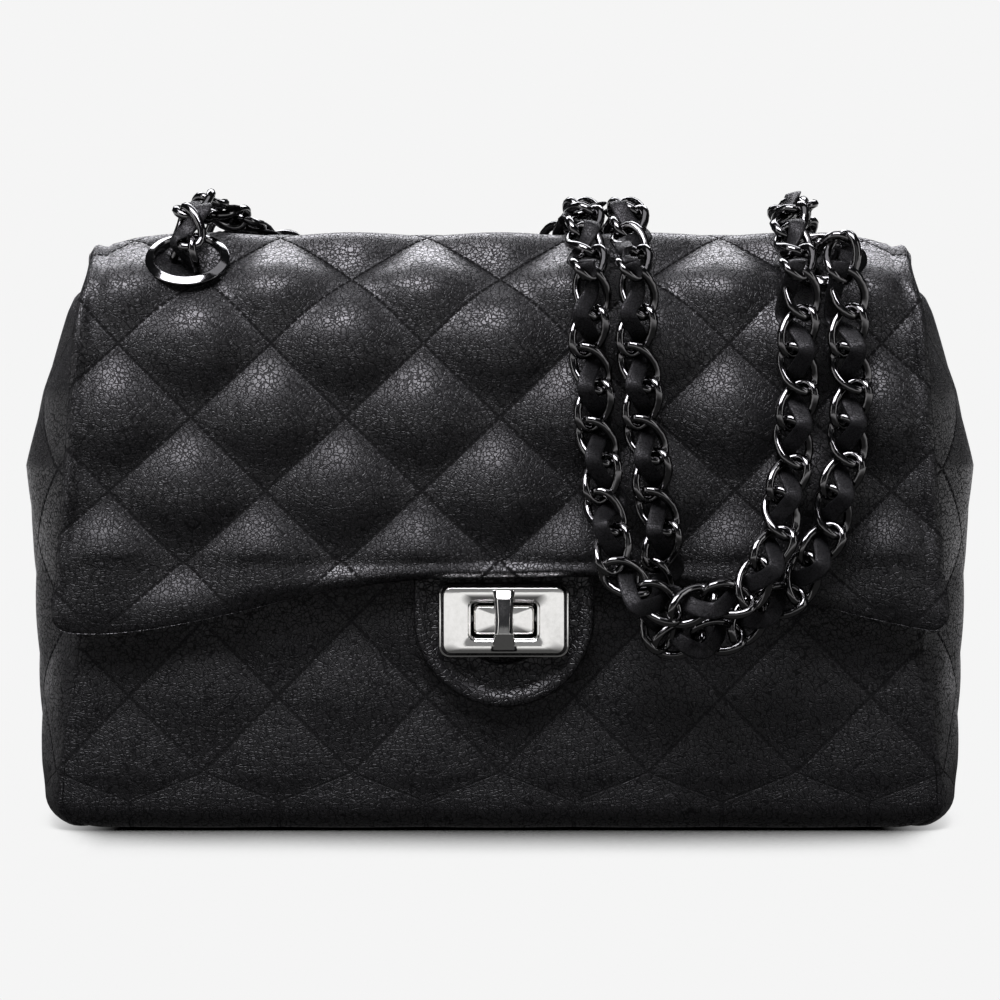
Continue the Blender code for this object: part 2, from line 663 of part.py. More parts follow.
def lock_base_objects(metal, steel, origin):
    """The half of the lock on the front panel: flange with its boss, backing and rivets."""
    level = lock_levels()
    width, height = flange_size()
    flange = rounded_rectangle(width, height, SLOT_CORNER)
    body = rounded_rectangle(BOSS_WIDTH, BOSS_HEIGHT, SLOT_CORNER - SLOT_RIM)
    corner = SLOT_CORNER - SLOT_RIM - BOSS_EDGE
    crown = rounded_rectangle(BOSS_WIDTH - 2 * BOSS_EDGE, BOSS_HEIGHT - 2 * BOSS_EDGE, corner)
    rings = [
        at_height(flange, GAP), at_height(flange, level["flange"]), at_height(body, level["flange"]),
        at_height(body, level["boss"] - BOSS_EDGE), at_height(crown, level["boss"]),
    ]
    base = place("lock_base", loft("lock_base", rings), metal, origin)
    plate = prism("lock_back_plate", flange, level["backing"], level["panel"] - GAP)
    back = place("lock_back_plate", plate, steel, origin)
    bore = rod("bore", SPINDLE_RADIUS + SPINDLE_CLEAR, level["backing"] - OVERRUN, level["boss"] + OVERRUN)
    for piece in (base, back):
        cut(piece, bore, origin)
    hole = rod("rivet_hole", RIVET_RADIUS + GAP, level["backing"] - OVERRUN, level["boss"] + OVERRUN, 8)
    rear, tip = level["backing"] - GAP - RIVET_HEAD_DEPTH, level["flange"] + GAP + RIVET_HEAD_DEPTH
    shank = [
        (0.0, rear), (RIVET_HEAD, rear),
        (RIVET_HEAD, level["backing"] - GAP), (RIVET_RADIUS, level["backing"] - GAP),
        (RIVET_RADIUS, level["flange"] + GAP), (RIVET_HEAD, level["flange"] + GAP),
        (RIVET_HEAD, tip), (0.0, tip),
    ]
    for side, x in rivet_places():
        place("lock_rivet_" + side, revolve("rivet", shank, 8), steel, origin, (x, 0.0, 0.0))
        for piece in (base, back):
            cut(piece, hole, origin, (x, 0.0, 0.0))
    return bore, hole


def cut_panel_for_lock(panel, bore, hole, origin):
    cut(panel, bore, origin)
    for _, x in rivet_places():
        cut(panel, hole, origin, (x, 0.0, 0.0))


def knob_rings():
    """The bar from its lower to its upper end: narrow and low at the waist, flared at both ends."""
    rear = lock_levels()["knob"]
    shares = ((-1.0, 1.0, 0.62), (-0.88, 1.0, 1.0), (-0.42, 0.78, 0.86), (0.0, 0.70, 0.76),
              (0.42, 0.78, 0.86), (0.88, 1.0, 1.0), (1.0, 0.96, 0.72))
    edge = KNOB / 5
    rings = []
    for along, wide, deep in shares:
        half = max(wide * KNOB_END, KNOB_WAIST) / 2
        y = along * KNOB_LENGTH / 2
        front = rear + deep * KNOB
        rings.append([
            (half, y, rear), (half, y, front - edge), (half - edge, y, front),
            (edge - half, y, front), (-half, y, front - edge), (-half, y, rear),
        ])
    return rings


def knob_objects(metal, steel, axis):
    """The turning half: bar with its collar, spindle through the boss, and wave washer."""
    level = lock_levels()
    knob = place("knob", loft("knob", knob_rings()), metal, axis)
    collar = rod("collar", KNOB_COLLAR, level["boss"] + GAP, level["knob"] + KNOB / 4)
    join(knob, collar, axis)
    socket = level["knob"] + KNOB_SOCKET
    cut(knob, rod("socket", SPINDLE_RADIUS + GAP, level["boss"] - OVERRUN, socket), axis)
    wave = level["backing"] - GAP
    head = wave - WAVE - GAP
    ring = [
        (SPINDLE_RADIUS + SPINDLE_CLEAR, wave - WAVE), (WAVE_RADIUS, wave - WAVE),
        (WAVE_RADIUS, wave), (SPINDLE_RADIUS + SPINDLE_CLEAR, wave),
    ]
    place("wave_washer", revolve("wave_washer", ring, 12, closed=True), steel, axis)
    profile = [
        (0.0, head - SPINDLE_HEAD_DEPTH), (SPINDLE_HEAD, head - SPINDLE_HEAD_DEPTH), (SPINDLE_HEAD, head),
        (SPINDLE_RADIUS, head), (SPINDLE_RADIUS, socket - GAP), (0.0, socket - GAP),
    ]
    place("knob_spindle", revolve("knob_spindle", profile, 12), steel, axis)


def plate_pin_places():
    reach = (SLOT_WIDTH + PLATE_WIDTH) / 4
    return (("left", -reach), ("right", reach))


def plate_objects(metal, steel, carrier, origin):
    """The half of the lock on the flap: slotted plate, frame behind the tab, two pins."""
    level = lock_levels()
    base = rounded_rectangle(PLATE_WIDTH, PLATE_HEIGHT, PLATE_CORNER)
    width, height = PLATE_WIDTH - 2 * PLATE_BEVEL, PLATE_HEIGHT - 2 * PLATE_BEVEL
    face = rounded_rectangle(width, height, PLATE_CORNER - PLATE_BEVEL / 2)
    rings = [
        at_height(base, level["plate_rear"]), at_height(base, level["plate_front"] - PLATE_BEVEL),
        at_height(face, level["plate_front"]),
    ]
    at = Vector(origin.location) - carrier.location
    turn = origin.rotation_euler[0]
    plate = place("lock_plate", loft("lock_plate", rings), metal, carrier, at, turn)
    slot = rounded_rectangle(SLOT_WIDTH - 2 * SLOT_RIM, SLOT_HEIGHT - 2 * SLOT_RIM, SLOT_CORNER - SLOT_RIM)
    rim = rounded_rectangle(SLOT_WIDTH, SLOT_HEIGHT, SLOT_CORNER)
    cut(plate, prism("slot", slot, GAP, level["plate_front"] + OVERRUN), carrier, at, turn)
    step = prism("rim", rim, level["plate_front"] - SLOT_STEP, level["plate_front"] + OVERRUN)
    cut(plate, step, carrier, at, turn)
    outer = rounded_rectangle(PLATE_WIDTH - 2 * FRAME_SINK, PLATE_HEIGHT - 2 * FRAME_SINK, PLATE_CORNER)
    frame_body = prism("plate_frame", outer, GAP, level["frame"])
    frame = place("plate_frame", frame_body, steel, carrier, at, turn)
    cut(frame, prism("window", window_outline(), -OVERRUN, level["plate_front"]), carrier, at, turn)
    pin_end = level["plate_front"] - PLATE / 2
    hole = rod("pin_hole", RIVET_RADIUS + GAP, -OVERRUN, pin_end + GAP, 8)
    for side, x in plate_pin_places():
        spot = at + Vector((x, 0.0, 0.0))
        pin = rod("plate_pin", RIVET_RADIUS, GAP, pin_end, 8)
        place("plate_pin_" + side, pin, steel, carrier, spot, turn)
        for piece in (plate, frame):
            cut(piece, hole, carrier, spot, turn)
    return hole


def tab_outline(inset):
    """The D of the leather tab in the lock's own plane, drawn in by inset."""
    half = TAB_HALF - inset
    centre = TAB_LOW + TAB_HALF - LOCK_Z
    points = [(TAB_SHIFT + half, TAB_TOP - LOCK_Z - inset), (TAB_SHIFT - half, TAB_TOP - LOCK_Z - inset)]
    steps = 14
    for i in range(steps + 1):
        angle = math.pi * (1 + i / steps)
        points.append((TAB_SHIFT + half * math.cos(angle), centre + half * math.sin(angle)))
    return points


def tab_object(leather, carrier, origin, hole):
    level = lock_levels()
    rings = [
        at_height(tab_outline(0.0), level["tab_rear"]),
        at_height(tab_outline(0.0), level["tab_front"] - TAB_ROLL),
        at_height(tab_outline(TAB_ROLL / 3), level["tab_front"] - TAB_ROLL / 3),
        at_height(tab_outline(TAB_ROLL), level["tab_front"]),
    ]
    at = Vector(origin.location) - carrier.location
    turn = origin.rotation_euler[0]
    tab = place("lock_tab", loft("lock_tab", rings), leather, carrier, at, turn)
    cut(tab, prism("window", window_outline(), -OVERRUN, level["plate_front"]), carrier, at, turn)
    for _, x in plate_pin_places():
        cut(tab, hole, carrier, at + Vector((x, 0.0, 0.0)), turn)


def smooth_route(shares):
    """A smooth curve through a route's points, as closely spaced points."""
    size = np.array((HALF_WIDTH, DEPTH, HEIGHT))
    knots = np.array(shares) * size
    padded = np.vstack((2 * knots[0] - knots[1], knots, 2 * knots[-1] - knots[-2]))
    points = []
    steps = 10
    for a, b, c, d in zip(padded, padded[1:], padded[2:], padded[3:]):
        for i in range(steps):
            t = i / steps
            second, third = 2 * a - 5 * b + 4 * c - d, 3 * b - a - 3 * c + d
            points.append((2 * b + (c - a) * t + second * t**2 + third * t**3) / 2)
    points.append(knots[-1])
    return np.array(points)


def unit(vector):
    return vector / np.linalg.norm(vector)


def route_frames(points, first_out, last_out):
    """The outward direction at each point: carried along without twist, then eased to the last."""
    tangents = np.gradient(points, axis=0)
    tangents /= np.linalg.norm(tangents, axis=1)[:, None]
    out = [unit(first_out - tangents[0] * (first_out @ tangents[0]))]
    for tangent in tangents[1:]:
        out.append(unit(out[-1] - tangent * (out[-1] @ tangent)))
    last = unit(last_out - tangents[-1] * (last_out @ tangents[-1]))
    twist = math.atan2(np.cross(out[-1], last) @ tangents[-1], out[-1] @ last)
    eased = []
    for i, (tangent, direction) in enumerate(zip(tangents, out)):
        angle = twist * i / (len(out) - 1)
        side = np.cross(tangent, direction)
        eased.append(math.cos(angle) * direction + math.sin(angle) * side)
    return tangents, np.array(eased)


class Route:
    """A smooth curve with its length and its directions, read by distance along it."""

    def __init__(self, shares, first_out, last_out):
        self.points = smooth_route(shares)
        self.tangents, self.outs = route_frames(self.points, first_out, last_out)
        steps = np.linalg.norm(np.diff(self.points, axis=0), axis=1)
        self.along = np.concatenate(((0.0,), np.cumsum(steps)))
        self.length = float(self.along[-1])

    def read(self, table, distance):
        return np.array([np.interp(distance, self.along, table[:, i]) for i in range(3)])

    def point(self, distance):
        over = max(0.0, distance - self.length)
        return self.read(self.points, distance) + over * self.tangents[-1]

    def out(self, distance):
        return unit(self.read(self.outs, distance))

    def side(self, distance):
        return unit(np.cross(self.read(self.tangents, distance), self.out(distance)))


def wire_centres_apart():
    return LINK_LENGTH - 2 * WIRE_RADIUS


def bite():
    """How far a link's wire centre lies beyond the point where it bears on the next link."""
    return WIRE_RADIUS - LINK_BITE


def walk(route, count, sway, end_reach):
    """Lay count links from the route's start; return the bearing points and where the walk ends."""
    inner = wire_centres_apart() - 2 * bite()
    outer = wire_centres_apart() - bite() - end_reach
    joints, places, distance = [route.point(0.0)], [0.0], 0.0
    for k in range(1, count + 1):
        reach = outer if k in (1, count) else inner
        offset = 0.0 if k == count else sway * (-1) ** k
        low, high = distance, distance + 2 * LINK_LENGTH
        for _ in range(40):
            middle = (low + high) / 2
            gap = route.point(middle) + offset * route.side(middle) - joints[-1]
            low, high = (low, middle) if np.linalg.norm(gap) > reach else (middle, high)
        distance = (low + high) / 2
        joints.append(route.point(distance) + offset * route.side(distance))
        places.append(distance)
    return joints, places, distance


def lay_links(route, end_reach, sense):
    """Whole links between the route's ends: the fewest, odd in number, and swayed to take up the rest."""
    count = 3
    while walk(route, count, 0.0, end_reach)[2] < (1 + TAKE_UP_SHARE) * route.length:
        count += 2
    low, high = 0.0, LINK_WIDTH / 2
    for _ in range(40):
        sway = (low + high) / 2
        reached = walk(route, count, sense * sway, end_reach)[2]
        low, high = (sway, high) if reached > route.length else (low, sway)
    joints, places, _ = walk(route, count, sense * sway, end_reach)
    return joints, places


def link_frames(route, joints, places, end_reach, first_edge_on):
    """Each link as its two end wire centres, its width direction, and whether it is edge-on."""
    frames = []
    last = len(joints) - 2
    for k in range(last + 1):
        along = unit(joints[k + 1] - joints[k])
        start = joints[k] - along * (end_reach if k == 0 else bite())
        end = joints[k + 1] + along * (end_reach if k == last else bite())
        middle = (places[k] + places[k + 1]) / 2
        edge_on = (k % 2 == 0) == first_edge_on
        wide = route.out(middle) if edge_on else route.side(middle)
        frames.append((start, end, unit(wide - along * (wide @ along)), edge_on))
    return frames


def link_path(start, end, wide):
    """Centre line of a link's wire, with its outward direction, mitred, at each point.

    Each end is a half circle in three straight pieces, the middle one on the wire centre.
    """
    steps = 3
    reach = 1 / math.cos(math.pi / (2 * steps))
    along = unit(end - start)
    half = LINK_WIDTH / 2 - WIRE_RADIUS
    path = []
    for sign, tip in ((1, end), (-1, start)):
        centre = tip - sign * half * along
        for i in range(steps + 1):
            angle = math.pi * (i / steps - 0.5)
            outward = sign * (math.cos(angle) * along + math.sin(angle) * wide)
            middle = centre + half * sign * (reach * math.cos(angle) * along + math.sin(angle) * wide)
            mitre = 1 + (reach - 1) * reach * math.cos(angle)
            path.append((middle, mitre * outward))
    return path


def chain_mesh(name, frames):
    """Separate links as one mesh of closed ovals of four-sided wire."""
    points, faces = [], []
    sides = 4
    for start, end, wide, _ in frames:
        normal = np.cross(unit(end - start), wide)
        path = link_path(start, end, wide)
        base = len(points)
        for middle, outward in path:
            for j in range(sides):
                turn = math.tau * j / sides
                points.append(middle + WIRE_RADIUS * (math.sin(turn) * normal - math.cos(turn) * outward))
        for i in range(len(path)):
            for j in range(sides):
                a, b = base + i * sides, base + (i + 1) % len(path) * sides
                faces.append([a + j, a + (j + 1) % sides, b + (j + 1) % sides, b + j])
    return closed_mesh(name, points, faces)


def square(direction, path):
    """A unit direction made perpendicular to a path."""
    path = unit(path)
    return unit(direction - path * (direction @ path))


def between(first, second, count):
    share = np.linspace(0.0, 1.0, count)[:, None]
    return first * (1 - share) + second * share


def strip_points(stations):
    """Points over a strip that runs through stations of a centre and a width direction."""
    points = []
    for (centre, across), (other, other_across) in zip(stations, stations[1:]):
        for u in (-0.5, 0.0, 0.5):
            points.append(between(centre + u * LACE_WIDTH * across, other + u * LACE_WIDTH * other_across, 6))
    return np.vstack(points)


def lace_stations(route, joints, places, frames, sense, bare):
    """Centre and width direction of the lace at each bearing point and in each link's middle.

    At a bearing point the lace passes outside, on the side away from the sway. How far
    out it passes there is the choice that keeps it clearest of the two links' wires.
    """
    wires = []
    for start, end, wide, _ in frames:
        path = [middle for middle, _ in link_path(start, end, wide)]
        wires.append(np.vstack([between(p, q, 5) for p, q in zip(path, path[1:] + path[:1])]))

    def in_link(k, path):
        middle = (places[k] + places[k + 1]) / 2
        turn = LACE_TURN_EDGE if frames[k][3] else LACE_TURN_FACE
        across = math.cos(turn) * route.side(middle) + math.sin(turn) * route.out(middle)
        return (joints[k] + joints[k + 1]) / 2, square(across, path)

    def passing(k, side_share, out_share):
        out, side = route.out(places[k]), route.side(places[k])
        away = side_share * LACE_SIDE * side + out_share * LACE_OUT * out
        return route.point(places[k]) + sense * (-1) ** (k + 1) * away

    stations = []
    last = len(frames) - bare[1]
    for k in range(bare[0], last + 1):
        out, side = route.out(places[k]), route.side(places[k])
        near = np.vstack(wires[max(k - 2, 0):k + 2])
        earlier = stations[-2][0] if stations else joints[k - 1]
        later = passing(k + 1, 1, 1) if k < last else joints[k + 1]
        best = None
        for side_share, out_share, turn in product(LACE_TRIAL_SHARES, LACE_TRIAL_SHARES, LACE_TURNS):
            centre = passing(k, side_share, out_share)
            before = in_link(k - 1, centre - earlier)
            after = in_link(k, later - centre)
            here = (centre, square(math.cos(turn) * side + math.sin(turn) * out, after[0] - before[0]))
            strip = strip_points([before, here, after])
            clear = np.linalg.norm(strip[:, None] - near[None], axis=2).min()
            if best is None or clear > best[0]:
                best = (clear, before, here, after)
        if stations:
            stations[-1] = best[1]
        stations.append(best[2])
        if k < last:
            stations.append(best[3])
    return stations


def lace_mesh(name, stations):
    """A flat strip through its stations."""
    rings = []
    for i, (centre, across) in enumerate(stations):
        before, after = stations[max(i - 1, 0)][0], stations[min(i + 1, len(stations) - 1)][0]
        across = square(across, after - before)
        thick = unit(np.cross(after - before, across))
        rings.append([
            centre + u * LACE_WIDTH / 2 * across + v * LACE / 2 * thick
            for u, v in ((-1, -1), (1, -1), (1, 1), (-1, 1))
        ])
    return loft(name, rings)


def strand(name, shares, metal, leather, carrier, edge_on, ends, bare=(1, 1)):
    """One stretch of the strap: its links joined where they bear on each other, and its lace.

    The lace leaves out as many links at each end as bare says.
    """
    first_out, last_out = (np.array(direction) for direction in ends)
    route = Route(shares, first_out, last_out)
    end_reach = 2 * WIRE_RADIUS + PIVOT_SLACK if edge_on else 0.0
    sense = -1 if edge_on else 1
    joints, places = lay_links(route, end_reach, sense)
    frames = link_frames(route, joints, places, end_reach, edge_on)
    chain = place_world(name + "_chain", chain_mesh(name + "_chain", frames[0::2]), metal, carrier)
    odd = chain_mesh(name + "_odd_links", frames[1::2])
    odd.transform(Matrix.Translation(-carrier.location))
    join(chain, odd, carrier)
    stations = lace_stations(route, joints, places, frames, sense, bare)
    place_world(name + "_lace", lace_mesh(name + "_lace", stations), leather, carrier)
    print(name, len(frames), "links")


def build():
    clear_scene()
    quilted = material("quilted_leather", (0.012, 0.012, 0.014), 0.45, 0.0)
    smooth = material("smooth_leather", (0.014, 0.014, 0.015), 0.5, 0.0)
    lining = material("lining_leather", (0.02, 0.02, 0.02), 0.6, 0.0)
    board = material("fibre_board", (0.05, 0.045, 0.04), 0.8, 0.0)
    gunmetal = material("gunmetal", (0.18, 0.175, 0.17), 0.12, 1.0)
    silver = material("polished_silver", (0.82, 0.81, 0.79), 0.05, 1.0)
    steel = material("steel", (0.5, 0.5, 0.5), 0.35, 1.0)

    front = panel_object("front_panel", FRONT_TOP, quilted, -1)
    panel_object("back_panel", BACK_TOP, quilted, 1)
    gusset_object("gusset_left", quilted, -1)
    gusset_object("gusset_right", quilted, 1)
    base_inset = BASE_RADIUS + HEM + GAP
    base = prism("base_panel", body_outline(base_inset, 0.0), 0.0, WALL)
    place("base_panel", base, quilted)
    inner = body_outline(base_inset + BOARD_MARGIN, 0.0)
    floor = prism("base_board", inner, WALL + GAP, WALL + GAP + BOARD)
    place("base_board", floor, board)
    lining_object(lining)

    hinge = empty("flap_hinge", (0.0, section(BACK_TOP)[3] + HINGE_OUT, BACK_TOP + HINGE_OUT))
    flap_objects(quilted, smooth, hinge)
    eyelet_objects(gunmetal, hinge)

    lock_y = -section(LOCK_Z)[2]
    origin = empty("lock_origin", (LOCK_X, lock_y, LOCK_Z), math.pi / 2)
    axis = empty("knob_axis", (LOCK_X, lock_y, LOCK_Z), math.pi / 2)
    bore, hole = lock_base_objects(silver, steel, origin)
    cut_panel_for_lock(front, bore, hole, origin)
    knob_objects(silver, steel, axis)
    pin_hole = plate_objects(silver, steel, hinge, origin)
    tab_object(smooth, hinge, origin, pin_hole)

    pivot = empty("strap_pivot", (0.0, PIVOT_Y, PIVOT_Z))
    forward, up = (0.0, -1.0, 0.0), (0.0, -0.38, 0.92)
    strand("loop_front", LOOP_FRONT_SHARES, gunmetal, smooth, pivot, False, (forward, forward))
    strand("loop_rear", LOOP_REAR_SHARES, gunmetal, smooth, pivot, False, (forward, forward))
    strand("run_left", RUN_LEFT_SHARES, gunmetal, smooth, hinge, True, (up, up))
    strand("run_right", RUN_RIGHT_SHARES, gunmetal, smooth, hinge, True, (up, up), (1, 4))


build()
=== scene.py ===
"""Looks of a quilted flap handbag with a turn lock and a woven chain strap.

Each part of the bag is a class that holds its sizes in millimetres, works out its
surfaces as whole numpy arrays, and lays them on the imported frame. Lengths become metres
only when a mesh is made.
"""

import logging
import math
from dataclasses import dataclass
from enum import Enum
from itertools import product
from typing import Sequence

import bpy
import numpy as np
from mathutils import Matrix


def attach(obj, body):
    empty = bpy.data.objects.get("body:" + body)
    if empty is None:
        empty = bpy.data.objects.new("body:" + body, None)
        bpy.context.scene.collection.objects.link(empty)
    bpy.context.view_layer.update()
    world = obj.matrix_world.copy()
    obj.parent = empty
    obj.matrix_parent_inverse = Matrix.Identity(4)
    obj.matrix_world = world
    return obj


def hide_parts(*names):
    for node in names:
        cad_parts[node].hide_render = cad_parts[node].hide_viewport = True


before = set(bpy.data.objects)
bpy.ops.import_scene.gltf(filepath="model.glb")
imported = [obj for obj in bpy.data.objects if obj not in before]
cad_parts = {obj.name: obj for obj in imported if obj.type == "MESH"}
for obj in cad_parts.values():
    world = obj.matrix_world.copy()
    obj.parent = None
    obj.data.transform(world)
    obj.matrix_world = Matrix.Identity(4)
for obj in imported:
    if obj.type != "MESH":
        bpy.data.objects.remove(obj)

LOG = logging.getLogger("handbag")
MM = 0.001
Array = np.ndarray

HEIGHT = 185.3
HALF_WIDTH = 150.0
DEPTH = 50.0
UNIT = np.array((HALF_WIDTH, DEPTH, HEIGHT))


class Side(Enum):
    """Which side of the bag a piece is on, as the sign of X or Y."""

    LEFT = -1
    RIGHT = 1
    FRONT = -2
    BACK = 2

    @property
    def sign(self) -> int:
        """-1 on the left or at the front, 1 on the right or at the back."""
        return 1 if self.value > 0 else -1


# Arrays and meshes


def unit(vectors: Array) -> Array:
    """Vectors divided by their lengths."""
    return vectors / np.maximum(np.linalg.norm(vectors, axis=-1, keepdims=True), 1e-9)


def smooth_curve(knots: Array, per_span: int) -> Array:
    """A Catmull-Rom curve: on each span a cubic whose slope at a knot joins its neighbours.

    Args:
        knots: points, one row each.
        per_span: steps in each span.

    Returns:
        Points along the curve, ending on the last knot.
    """
    padded = np.vstack((2 * knots[0] - knots[1], knots, 2 * knots[-1] - knots[-2]))
    a, b, c, d = (padded[i:len(padded) - 3 + i, None] for i in range(4))
    t = (np.arange(per_span) / per_span)[None, :, None]
    bend, swing = 2 * a - 5 * b + 4 * c - d, 3 * b - a - 3 * c + d
    curve = 0.5 * (2 * b + (c - a) * t + bend * t**2 + swing * t**3)
    return np.vstack((curve.reshape(-1, knots.shape[1]), knots[-1:]))


def along(points: Array) -> Array:
    """Distance along a line of points, from its start."""
    return np.concatenate(((0.0,), np.cumsum(np.linalg.norm(np.diff(points, axis=0), axis=1))))


def resample(points: Array, places: Array) -> Array:
    """Rows of a table read at places, each a share of the distance along its first columns."""
    distance = along(points[:, :2])
    return np.column_stack([np.interp(places * distance[-1], distance, column) for column in points.T])


def crowded(count: int, edge: float, rim: int = 5) -> Array:
    """Shares from 0 to 1 that crowd towards both ends.

    Args:
        count: steps in the middle.
        edge: share that each end's close steps cover.
        rim: steps in each end.

    Returns:
        The shares, in order.
    """
    close = edge * (1 - np.cos(np.linspace(0, math.pi / 2, rim + 1)))
    middle = np.linspace(edge, 1 - edge, count + 1)
    return np.concatenate((close[:-1], middle, (1 - close[:-1])[::-1]))


def grid_normals(points: Array) -> Array:
    """Unit normals of a grid: the cross product of its column and row directions."""
    return unit(np.cross(np.gradient(points, axis=1), np.gradient(points, axis=0)))


def waves(u: Array, v: Array, seed: int, count: int = 6) -> Array:
    """Smooth unevenness: a sum of sine waves in seeded directions, about -1 to 1."""
    rng = np.random.default_rng(seed)
    total = np.zeros_like(u)
    for _ in range(count):
        turn, phase, pace = rng.uniform(0, math.tau), rng.uniform(0, math.tau), rng.uniform(0.6, 1.7)
        total += np.sin(pace * (u * math.cos(turn) + v * math.sin(turn)) + phase)
    return total / count**0.5 / 1.2


def smooth_step(x: Array, low: float, high: float) -> Array:
    """0 below low, 1 above high, and the cubic 3t^2 - 2t^3 between them."""
    t = np.clip((x - low) / (high - low), 0, 1)
    return t * t * (3 - 2 * t)


def mirrored(right: Array) -> Array:
    """A ring of points: a right half, then its mirror image the other way round."""
    flip = np.ones(right.shape[1])
    flip[0] = -1
    return np.vstack((right, right[::-1] * flip))


def bell_curve(x: Array, middle: float, width: float) -> Array:
    """1 at the middle, falling off as a Gaussian."""
    return np.exp(-(((x - middle) / width) ** 2))


def make_mesh(name: str, points: Array, faces: Sequence[Array], uv: Array | None = None) -> bpy.types.Object:
    """A smooth-shaded object from points in millimetres.

    Args:
        name: the piece's name.
        points: one row per point.
        faces: tables of faces, each with one row of point numbers per face.
        uv: a pair of numbers per point, or None.

    Returns:
        The object, at the origin, in the scene.
    """
    mesh = bpy.data.meshes.new(name)
    corners = np.concatenate([table.ravel() for table in faces])
    sides = np.concatenate([np.full(len(table), table.shape[1]) for table in faces])
    mesh.vertices.add(len(points))
    mesh.vertices.foreach_set("co", (points * MM).ravel())
    mesh.loops.add(len(corners))
    mesh.loops.foreach_set("vertex_index", corners)
    mesh.polygons.add(len(sides))
    mesh.polygons.foreach_set("loop_start", np.cumsum(sides) - sides)
    mesh.polygons.foreach_set("use_smooth", np.ones(len(sides), bool))
    mesh.update(calc_edges=True)
    if uv is not None:
        layer = mesh.uv_layers.new(name="lattice")
        layer.data.foreach_set("uv", uv[corners].ravel())
    mesh.validate()
    piece = bpy.data.objects.new(name, mesh)
    bpy.context.scene.collection.objects.link(piece)
    return piece


def grid_quads(rows: int, columns: int, wrap_rows: bool = False, wrap_columns: bool = False) -> Array:
    """Quads of a grid of points, joined round where a direction wraps."""
    i = np.arange(rows if wrap_rows else rows - 1)[:, None]
    j = np.arange(columns if wrap_columns else columns - 1)[None, :]
    i2, j2 = (i + 1) % rows, (j + 1) % columns
    corners = np.broadcast_arrays(i * columns + j, i * columns + j2, i2 * columns + j2, i2 * columns + j)
    return np.stack(corners, -1).reshape(-1, 4)


def tube(name: str, rings: Array, wrap: bool = True) -> bpy.types.Object:
    """A piece through rings of points: its rows wrap round, or end in fans.

    Args:
        name: the piece's name.
        rings: an array of ring, point, coordinate.
        wrap: whether the last ring meets the first.

    Returns:
        The object.
    """
    rows, columns = rings.shape[:2]
    points = rings.reshape(-1, 3)
    quads = grid_quads(rows, columns, wrap_rows=wrap, wrap_columns=True)
    if wrap:
        return make_mesh(name, points, [quads])
    ends = len(points)
    points = np.vstack((points, rings[0].mean(axis=0), rings[-1].mean(axis=0)))
    j = np.arange(columns)
    j2 = (j + 1) % columns
    last = (rows - 1) * columns
    first_fan = np.column_stack((np.full(columns, ends), j2, j))
    last_fan = np.column_stack((np.full(columns, ends + 1), last + j, last + j2))
    return make_mesh(name, points, [quads, first_fan, last_fan])


def shell(name: str, outer: Array, inner: Array, uv: Array) -> bpy.types.Object:
    """A closed sheet between two grids of the same shape, joined round their rims.

    Args:
        name: the piece's name.
        outer: grid of points that faces out.
        inner: grid of points behind it.
        uv: a pair of numbers per grid point, used on both sides.

    Returns:
        The object.
    """
    rows, columns = outer.shape[:2]
    front = grid_quads(rows, columns)
    back = front[:, ::-1] + rows * columns
    top = np.arange(columns)
    rim = np.concatenate((
        top,
        np.arange(1, rows) * columns + columns - 1,
        (rows - 1) * columns + top[-2::-1],
        np.arange(rows - 2, 0, -1) * columns,
    ))
    after = np.roll(rim, -1)
    edge = np.column_stack((rim, rim + rows * columns, after + rows * columns, after))
    points = np.vstack((outer.reshape(-1, 3), inner.reshape(-1, 3)))
    flat = uv.reshape(-1, 2)
    return make_mesh(name, points, [front, back, edge], np.vstack((flat, flat)))


# Shader building

Socket = bpy.types.NodeSocket
Colour = tuple[float, float, float]

SMOOTH = "SMOOTHSTEP"
SHEEN_TINT = (0.98, 0.95, 1.0, 1.0)


